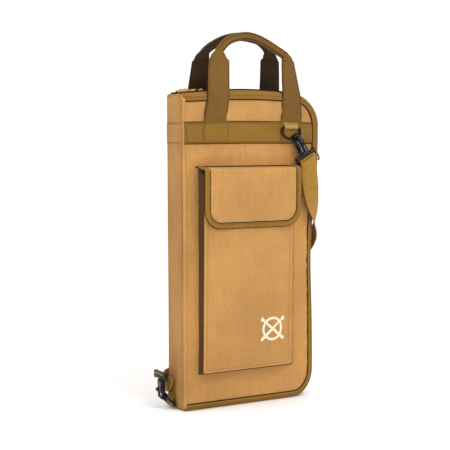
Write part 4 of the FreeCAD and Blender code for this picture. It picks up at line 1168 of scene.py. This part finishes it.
def build_hook(prefix, mount):
    """A snap hook: hook and stem, rails, sprung thumb bolt and the swivel's base."""
    body = prefix + "_hook"
    shape = Shape()
    rings = []
    for k in range(24):
        share = k / 23
        angle = radians(10 - 262 * share)
        radial = mount.out * sin(angle) + mount.along * cos(angle)
        thin = 1 - 0.25 * share
        rings.append(oval(mount.origin + radial * (0.0044 - 0.0003 * share), mount.across, radial,
                          0.0062 * (1 - 0.25 * share), 0.0021 * thin, 3.0, 16))
    shape.rows(rings, wrap=True, caps=True)
    # the stem: a waisted block with a rail along either side of a sunk middle
    stem = [(0.0036, 0.0056, 0.0024), (0.0046, 0.0076, 0.0034), (0.0080, 0.0082, 0.0039),
            (0.0120, 0.0077, 0.0039), (0.0170, 0.0076, 0.0039), (0.0225, 0.0084, 0.0041),
            (0.0246, 0.0082, 0.0038), (0.0254, 0.0066, 0.0028)]
    bar(shape, [mount.at(0, STAND_OFF * min(1.0, z / 0.007) - 0.0009, z) for z, _, _ in stem],
        mount.across, mount.out, [stop[1:] for stop in stem], 4.5)
    for z in (0.0062, 0.0186, 0.0208, 0.0230):
        cross_bar(shape, mount, STAND_OFF + 0.0026, z, 0.0040, 0.0005, 0.0008, 0.0004)
    turned(shape, mount, ((0.0246, 0.0044), (0.0252, 0.0050), (0.0266, 0.0050), (0.0272, 0.0044),
                          (0.0275, 0.0030)))
    wear(shape.piece(prefix + "_hook_body", acetal), body, "hook_plastic", prefix + "_snap_hook")
    rails = Shape()
    for x in (-0.0031, 0.0031):
        rail = [(0.0046, 0.0006, 0.0008), (0.0056, 0.0009, 0.0014), (0.0100, 0.0010, 0.0016),
                (0.0160, 0.0009, 0.0016), (0.0228, 0.0011, 0.0016), (0.0242, 0.0007, 0.0010)]
        spots = []
        for z, _, _ in rail:
            waist = 1.0 + 12 * (z - 0.014) ** 2 / 0.014
            spots.append(mount.at(x * waist, STAND_OFF * min(1.0, z / 0.007) + 0.0022, z))
        bar(rails, spots, mount.across, mount.out, [stop[1:] for stop in rail])
    # painted highlight: the rails' pale bluish grey stands in for the lamp's reflection on them
    wear(rails.piece(prefix + "_hook_rails", rails_painted_highlight), body, "hook_plastic")
    bolt = Shape()
    high = STAND_OFF + 0.0032
    long_bar(bolt, mount, 0, high, -0.0008, 0.0150, 0.0022, 0.0014)
    long_bar(bolt, mount, 0, high + 0.0020, 0.0084, 0.0146, 0.0030, 0.0021, 0.0014)
    for z in (0.0096, 0.0108, 0.0120, 0.0132):
        cross_bar(bolt, mount, high + 0.0041, z, 0.0025, 0.0004, 0.0006, 0.0003)
    made = bolt.piece(prefix + "_thumb_bolt", acetal)
    wear(made, prefix + "_bolt", "hook_plastic", prefix + "_spring_bolt")
    base = Shape()
    turned(base, mount, [(0.0276, 0.0028), (0.0282, 0.0038), (0.0296, 0.0038)])
    cross_bar(base, mount, STAND_OFF, 0.0302, 0.0172, 0.0029, 0.0034)
    cross_bar(base, mount, STAND_OFF, 0.0371, 0.0172, 0.0016, 0.0025)
    for x in (-0.0166, 0.0166):
        long_bar(base, mount, x, STAND_OFF, 0.0279, 0.0390, 0.0018, 0.0033, 0.0012)
    for x in (-0.0172, 0.0172):
        stops = capped(-0.0034, 0.0034, 0.0032, 0.0032, 0.0016)
        bar(base, [mount.at(x, STAND_OFF, 0.0300 + z) for z, _ in stops], mount.across, mount.out,
            [size for _, size in stops], 2.2)
    wear(base.piece(prefix + "_swivel_base", acetal), prefix + "_swivel", "hook_plastic", prefix + "_swivel")


HOOK_TURN = -6.0       # degrees, towards hanging straight down
upper_ring, upper_hook = ring_mount("upper", -Y_AXIS), hook_mount("upper", -Y_AXIS, 1.04, HOOK_TURN)
lower_ring, lower_hook = ring_mount("lower", -X_AXIS), hook_mount("lower", -X_AXIS)
for prefix, mount in (("upper", upper_ring), ("lower", lower_ring)):
    build_ring(prefix, mount)
# painted highlight: the upper tab takes the paler webbing, for light on its fold
build_tab("upper", "front_half", upper_ring.origin, -Y_AXIS, Z_AXIS, 0.0064, 0.0125, tab_web_painted_highlight)
build_tab("lower", "spine", lower_ring.origin, -X_AXIS, Z_AXIS, 0.0295, 0.0110, webbing)
for prefix, mount in (("upper", upper_hook), ("lower", lower_hook)):
    build_hook(prefix, mount)

# ---- shoulder strap ----------------------------------------------------------------------------------

END_BAR = 0.0371       # the swivel's end bar, along the hook from its eye
STEPS = 10             # points between two stations of the strap
WRAP = 0.0036          # how far the strap's middle stands off that bar


def swivel_loop(mount, tail):
    """Stations from the strap's sewn end, round the swivel's end bar, to where the strap leaves it."""
    stations = list(tail)
    for degrees in (180, 135, 90, 45, 0):
        angle = radians(degrees)
        facing = mount.out * cos(angle) - mount.along * sin(angle)
        stations.append((mount.at(0, STAND_OFF, END_BAR) + facing * WRAP, mount.across, facing))
    return stations


def station(x, y, z, across, facing):
    """A place on the strap in millimetres, with the ways that its width and its face point."""
    return Vector((x, y, z)) * 0.001, Vector(across).normalized(), Vector(facing).normalized()


upper_loop = swivel_loop(upper_hook, [station(94.5, -38.4, 361, (0.93, 0, 0.35), (0, 1, 0)),
                                      station(93.2, -38.2, 373, (0.9, 0, 0.43), (0, 1, 0))])
lower_loop = swivel_loop(lower_hook, [
    (lower_hook.at(0, STAND_OFF - WRAP * 0.55, END_BAR - 0.004), lower_hook.across, -lower_hook.out),
    (lower_hook.at(0, STAND_OFF - WRAP * 0.85, END_BAR - 0.002), lower_hook.across, -lower_hook.out)])
down_front = [
    station(93.8, -41, 370, (0.90, 0, 0.43), (-0.1, -1, 0)),
    station(95.5, -40, 358, (0.95, 0, 0.3), (-0.1, -1, 0)),
    station(99.5, -38.5, 335, (0.97, 0.1, 0.2), (0.1, -1, 0)),
    station(106, -34.5, 308, (0.9, 0.42, 0.12), (0.42, -1, 0)),
    station(115, -26, 285, (0.62, 0.77, 0.1), (0.77, -0.65, 0)),
    station(122.5, -12, 264, (0.22, 0.95, 0.3), (0.95, -0.25, 0)),
    station(125, 4, 248, (0.1, 0.8, 0.6), (1, 0, 0)),
]
behind = [
    station(119, 22, 232, (-0.15, 0.6, 0.8), (0.8, 0.6, 0)),
    station(109, 37, 214, (-0.5, 0.25, 0.8), (0.3, 1, 0)),
    station(88, 43, 186, (-0.65, 0, 0.76), (0, 1, 0)), station(55, 44, 146, (-0.65, 0, 0.76), (0, 1, 0)),
    station(10, 44, 105, (-0.55, 0, 0.83), (0, 1, 0)), station(-40, 43, 72, (-0.42, 0, 0.9), (0, 1, 0)),
    station(-85, 41, 50, (-0.3, 0, 0.95), (0, 1, 0)), station(-112, 37, 42, (-0.15, 0, 1), (-0.3, 1, 0)),
]
round_spine = [
    station(-124, 33, 39, (0, 0.1, 1), (-0.8, 0.6, 0)), station(-129, 24, 37, (0, 0.45, 0.9), (-1, 0.1, 0)),
    station(-130, 14, 40, (0, 0.85, 0.5), (-1, 0, 0)), station(-131.5, 9.5, 49, (0, 1, 0), (-1, 0, -0.4)),
]


def strap_span(name, stations, first, last, rule, *nodes):
    """One stretch of the strap's smooth line, put on one body, or fixed in place where it spans two."""
    line = smooth_line(stations, STEPS)[first * STEPS:last * STEPS + 1]
    made = web_rings(line, STRAP_WIDE, STRAP_THICK).piece("strap_" + name, strap_web)
    if isinstance(rule, str):
        wear(made, rule, "webbing", *nodes)
    else:
        bend(made, "webbing", rule, line[0][0], line[-1][0], *nodes)


upper_run = upper_loop + down_front + behind[:1]
leave = len(upper_loop)
strap_span("upper_loop", upper_run, 0, leave - 1, "upper_swivel")
strap_span("near_swivel", upper_run, leave - 1, leave, ("upper_swivel", "upper_hook"), "strap_front")
strap_span("near_hook", upper_run, leave, leave + 2, ("upper_hook", "upper_ring"), "strap_front")
strap_span("near_ring", upper_run, leave + 2, leave + 4, ("upper_ring", "front_half"), "strap_front")
strap_span("round_side", upper_run, leave + 4, leave + 6, "front_half", "strap_front")
back_run = down_front[-2:] + behind + round_spine[:1]
strap_span("behind_start", back_run, 1, 4, "front_half", "strap_back")
strap_span("behind", back_run, 4, 9, ("front_half", "spine"), "strap_back")
lower_run = behind[-2:] + round_spine + lower_loop[::-1]
strap_span("round_spine", lower_run, 1, 4, "spine", "strap_lower")
strap_span("near_lower_ring", lower_run, 4, 5, ("spine", "lower_ring"), "strap_lower")
strap_span("near_lower_hook", lower_run, 5, 6, ("lower_ring", "lower_hook"), "strap_lower")
strap_span("lower_loop", lower_run, 6, len(lower_run) - 1, "lower_swivel", "strap_lower")
rungs = []
for share in (0.62, 0.80):
    middle, across, facing = smooth_line(upper_run, STEPS)[int((leave - 2 + share) * STEPS)]
    across, facing = across.normalized(), facing.normalized()
    rungs.append(([middle + across * x + facing * 0.0010 for x in spread(-0.0135, 0.0135, 8)], facing))
stitches("upper_strap_stitching", "upper_swivel", rungs, olive_thread, "webbing", radius=0.0005)

# the slide that sets the strap's length: a frame with a middle bar
slide_spot, slide_across, _ = smooth_line(back_run, STEPS)[6 * STEPS]
slide_across = slide_across.normalized()
slide = Mount(slide_spot, Y_AXIS, Y_AXIS.cross(slide_across))
frame_shape = Shape()
for z in (-0.0118, 0.0, 0.0118):
    stops = capped(-0.0205, 0.0205, 0.0014, 0.0014)
    lift = -0.0022 if z else 0.0020
    spots = [slide.origin + slide_across * x + slide.out * lift + slide.along * z for x, _ in stops]
    bar(frame_shape, spots, slide.along, slide.out, [size for _, size in stops], 2.6)
for x in (-0.0195, 0.0195):
    stops = capped(-0.0130, 0.0130, 0.0017, 0.0026, 0.0012)
    spots = [slide.origin + slide_across * x + slide.along * z for z, _ in stops]
    bar(frame_shape, spots, slide_across, slide.out, [size for _, size in stops], 2.6)
bend(frame_shape.piece("strap_slide", acetal), "hook_plastic", ("front_half", "spine"),
     smooth_line(back_run, STEPS)[4 * STEPS][0], smooth_line(back_run, STEPS)[9 * STEPS][0], "strap_adjuster")

# ---- zip sliders and pulls ---------------------------------------------------------------------------


def build_slider(prefix):
    """A zip slider: two winged plates, its two sides and a crown."""
    low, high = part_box(prefix + "_slider")
    middle = (low.z + high.z) / 2
    outer, wing_half = RIGHT + 0.0016, 0.0043
    shape = Shape()

    def plate(x, y, stops):
        """A bar up the slider, with (z, half width, half thickness) stops."""
        bar(shape, [Vector((x, y, middle + z)) for z, _, _ in stops], Y_AXIS, X_AXIS,
            [stop[1:] for stop in stops], 3.0)

    wing = ((-0.0063, 0.45), (-0.0056, 0.8), (-0.0030, 1.0), (0.0015, 0.96), (0.0048, 0.78), (0.0063, 0.5))
    for x, thick, grow in ((outer, 0.0007, 1.0), (RIGHT - 0.0062, 0.0006, 0.92)):
        plate(x, 0, [(z, wing_half * share * grow, thick) for z, share in wing])
    for y in (-0.0037, 0.0037):
        plate(outer - 0.0010, y, [(z, wide, 0.0011) for z, wide in (
            (-0.0052, 0.0005), (-0.0030, 0.0007), (0.0010, 0.0007), (0.0040, 0.0005))])
    crown = ((-0.0044, 0.0004), (-0.0030, 0.0024), (0.0, 0.0031), (0.0030, 0.0024), (0.0044, 0.0004))
    bar(shape, [Vector((outer + lift, 0, middle + z)) for z, lift in crown], Y_AXIS, X_AXIS,
        [(0.0011, 0.0005)] * len(crown), 3.0)
    wear(shape.piece(prefix + "_slider_body", enamel), prefix + "_slider", "zip_metal", prefix + "_slider")


def build_pull(prefix):
    """A slider's pull: a wire loop with a small round eye at its pivot."""
    pivot = joint_spot(prefix + "_pull_swing")
    pull_low, pull_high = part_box(prefix + "_pull")
    tilted = pull_high.x - pivot.x > 0.008
    tip = Vector((pull_high.x - 0.0025 if tilted else pivot.x, 0, pull_low.z + 0.001))
    along = (tip - pivot).normalized()
    reach, half, eye = (tip - pivot).length, 0.0042, 0.0030
    flat = [(eye * sin(a), eye - eye * cos(a)) for a in spread(-pi / 2, pi / 2, 9)]
    flat += [(half, 0.0105)]
    flat += [(half * cos(a), reach - half + half * sin(a)) for a in spread(0.0, pi, 12)]
    flat += [(-half, 0.0105)]
    line = [pivot + Y_AXIS * y + along * z for y, z in flat]
    made = tube(line, 0.00120, sides=8, closed=True).piece(prefix + "_pull_loop", enamel)
    wear(made, prefix + "_pull", "zip_metal", prefix + "_pull")


for prefix in ("upper", "lower"):
    build_slider(prefix)
    build_pull(prefix)

# ---- inside: padding, lining and stick pockets -------------------------------------------------------


def build_padding(prefix, body, side):
    """A half's padding: a soft tray against the canvas."""
    pad_low, pad_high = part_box(prefix + "_foam")
    across = spread(pad_low.x + 0.001, pad_high.x - 0.001, 24)
    face = [[on_face(*rounded(x, z), side, -0.0034) for x in across]
            for z in spread(pad_low.z + 0.001, pad_high.z - 0.001, 44)]
    brink = brink_of(face)
    shape = Shape().rows(face)
    shape.rows([[Vector((p.x, side * min(out, abs(p.y)), p.z)) for p in brink]
                for out in (HALF, 0.019, 0.013)])
    pad = shape.piece(prefix + "_padding", padding, thick=0.0028)
    wear(pad, body, "foam", prefix + "_foam")


def build_lining(prefix, body, side):
    """A half's lining, rolled over at the rim."""
    low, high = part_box(prefix + "_lining")

    def on_lining(x, z):
        back = roll(min(high.x - x, high.z - z, z - low.z), 0.0065)
        soft = 0.0006 * uneven(x * 30, side * 6.6, z * 18)
        flat_x, flat_z = rounded(x, z, high.x, low.z, high.z, CORNER - 0.006)
        return Vector((flat_x, side * (HALF - 0.0070 - back + soft), flat_z))

    face = [[on_lining(x, z) for x in graded(low.x + 0.0004, high.x)] for z in graded(low.z, high.z)]
    brink = brink_of(face)
    shape = Shape().rows(face)
    shape.rows([brink] + [[Vector((p.x, side * out, p.z)) for p in brink] for out in (0.0128, 0.0118)])
    wear(shape.piece(prefix + "_inner_cloth", lining, thick=0.0005), body, "lining", prefix + "_lining")


def build_stick_pockets(prefix, body, side):
    """One sheet sewn down between channels, standing full where sticks go."""
    box_low, box_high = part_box(prefix + "_stick_pocket")
    channels, stops = (3 if side == FRONT else 4), 14
    fed = HALF - 0.0082
    across = spread(box_low.x + 0.001, box_high.x - 0.001, channels * stops + 1)
    up = graded(box_low.z + 0.001, box_high.z - 0.0005, fine_high=False, step=0.010)
    sheet = []
    for z in up:
        share = (z - up[0]) / (up[-1] - up[0])
        row = []
        for k, x in enumerate(across):
            swell = abs(sin(pi * (k % stops) / stops)) ** 0.55
            lift = 0.0088 * swell * min(1.0, share * 7) ** 0.5 * (0.86 + 0.14 * share)
            soft = 0.0005 * uneven(x * 40, side * 2.2, z * 16)
            row.append(Vector((x, side * (fed - lift + soft), z)))
        sheet.append(row)
    worn_sheet(prefix + "_stick_pockets", sheet, lining, body, "lining", prefix + "_stick_pocket",
               thick=0.0008)
    hem_rows = [[p + Vector((0, -side * lift, dz)) for p in sheet[-1]] for lift, dz in (
        (0.0006, -0.012), (0.0010, -0.006), (0.0009, -0.0004), (0.0, 0.0004), (-0.0009, -0.0006),
        (-0.0009, -0.011))]
    worn_sheet(prefix + "_stick_pocket_hem", hem_rows, binding, body, "binding", thick=0.0005)
    runs = [([row[k * stops] + Vector((0, -side * 0.0008, 0)) for row in sheet], -Y_AXIS * side)
            for k in range(channels + 1)]
    stitches(prefix + "_channel_stitching", body, runs, thread, "lining", pitch=0.0040, length=0.0028)


for prefix, side in HALVES:
    for build in (build_padding, build_lining, build_stick_pockets):
        build(prefix, prefix + "_half", side)

# ---- print on the pocket -----------------------------------------------------------------------------

PRINT_X, PRINT_Z = 0.0240, 0.1190


def build_print():
    """A drum head seen from above with two sticks crossed over it, printed flat on the pocket."""
    def lay(x, z):
        return on_pocket(PRINT_X + x, PRINT_Z + z, 0.00080)

    head = Shape().rows([[lay(r * cos(a), r * sin(a)) for a in spread(0.0, 2 * pi, 49)[:-1]]
                         for r in (0.0148, 0.0168, 0.0188)], wrap=True)
    layers = [("head", head)]
    for name, hand in (("left_stick", -1), ("right_stick", 1)):
        way = Vector((hand * 0.77, 0.64))
        side = Vector((-way.y, way.x))
        stops = [(-0.0272, 0.0014)]
        stops += [(run, 0.0026 - 0.0009 * (run + 0.0264) / 0.0460) for run in spread(-0.0264, 0.0196, 24)]
        stops += [(0.0206, 0.0017), (0.0218, 0.0026), (0.0240, 0.0034), (0.0262, 0.0030), (0.0275, 0.0010)]
        rows = [[lay(*(way * run + side * (half * w))) for w in (-1, -0.3, 0.3, 1)] for run, half in stops]
        layers.append((name, Shape().rows(rows)))
    for k, (name, shape) in enumerate(layers):
        made = laid(shape.piece("print_" + name, ink), pocket_panel, 0.00085 + 0.00008 * k, Y_AXIS)
        wear(made, "front_half", "canvas")


build_print()

# ---- crumpled zip ends at the spine ------------------------------------------------------------------


def build_zip_tail(prefix, side, height):
    """A zip tape runs out past the last tooth and crumples where the spine starts."""
    rows = []
    for share in spread(0.0, 1.0, 26):
        x = LEFT + 0.002 + 0.052 * share
        lift = 0.0088 * sin(pi * share) ** 0.5 * (0.65 + 0.8 * uneven(share * 5.5, side * 3, 1))
        sway = 0.0022 * uneven(share * 7, side * 5, 4.0)
        row = []
        for w in spread(0.0, 1.0, 7):
            y = side * (0.0012 + 0.0105 * w) + sway * (1 - w)
            fold = 0.0014 * sin(5.0 * w + 9.0 * share)
            row.append(Vector((x, y, height + 0.0005 + lift * (1 - w * w) + fold * (1 - w))))
        rows.append(row)
    worn_sheet("zip_tail_top_" + prefix, rows, binding if side == BACK else canvas, prefix + "_half", "zip",
               thick=0.0008, levels=1)


for prefix, side in HALVES:
    build_zip_tail(prefix, side, TOP + 0.0030)

# ---- camera, light and floor -------------------------------------------------------------------------

AIM = Vector((0, 0, 0.240))
ORBIT, YAW, RISE = 1.763, radians(-30.06), radians(5.74)
camera_data = bpy.data.cameras.new("camera")
camera = bpy.data.objects.new("camera", camera_data)
bpy.context.scene.collection.objects.link(camera)
towards = Vector((sin(YAW) * cos(RISE), -cos(YAW) * cos(RISE), sin(RISE)))
camera.location = AIM + towards * ORBIT
camera.rotation_mode = "QUATERNION"
camera.rotation_quaternion = (-towards).to_track_quat("-Z", "Y")
camera_data.sensor_width, camera_data.lens = 36, 89.26
camera_data.shift_x, camera_data.shift_y = -0.0433, 0.0551
bpy.context.scene.camera = camera
bpy.context.scene.view_settings.view_transform = "Standard"


def softbox(name, place, size, power):
    """A flat lamp that faces the object."""
    data = bpy.data.lights.new(name, "AREA")
    data.shape, data.size, data.size_y = "RECTANGLE", *size
    data.energy = power
    lamp = bpy.data.objects.new(name, data)
    lamp.location = place
    lamp.rotation_mode = "QUATERNION"
    lamp.rotation_quaternion = (AIM - Vector(place)).to_track_quat("-Z", "Y")
    bpy.context.scene.collection.objects.link(lamp)


softbox("key", (0.35, -1.5, 2.4), (0.8, 0.8), 24)
softbox("rim", (-1.6, 0.4, 1.3), (0.8, 0.8), 3)
world = bpy.data.worlds.new("studio")
bpy.context.scene.world = world
world.use_nodes = True
world.node_tree.nodes["Background"].inputs[0].default_value = (1, 1, 1, 1)
world.node_tree.nodes["Background"].inputs[1].default_value = 1.06

paper = Shader("paper", Roughness=0.9)
grain = paper.noise(paper.node("TexCoord").outputs["Object"], 30.0)
paper.into("Base Color", paper.mix(grain, (0.96, 0.96, 0.96), (0.98, 0.98, 0.98)))
floor_shape = Shape().rows([[Vector((x, y, -0.0003)) for x in (-6, -2, 0, 2, 6)] for y in (-6, -2, 0, 2, 6)])
floor_shape.piece("floor", paper.material)

bpy.context.view_layer.update()
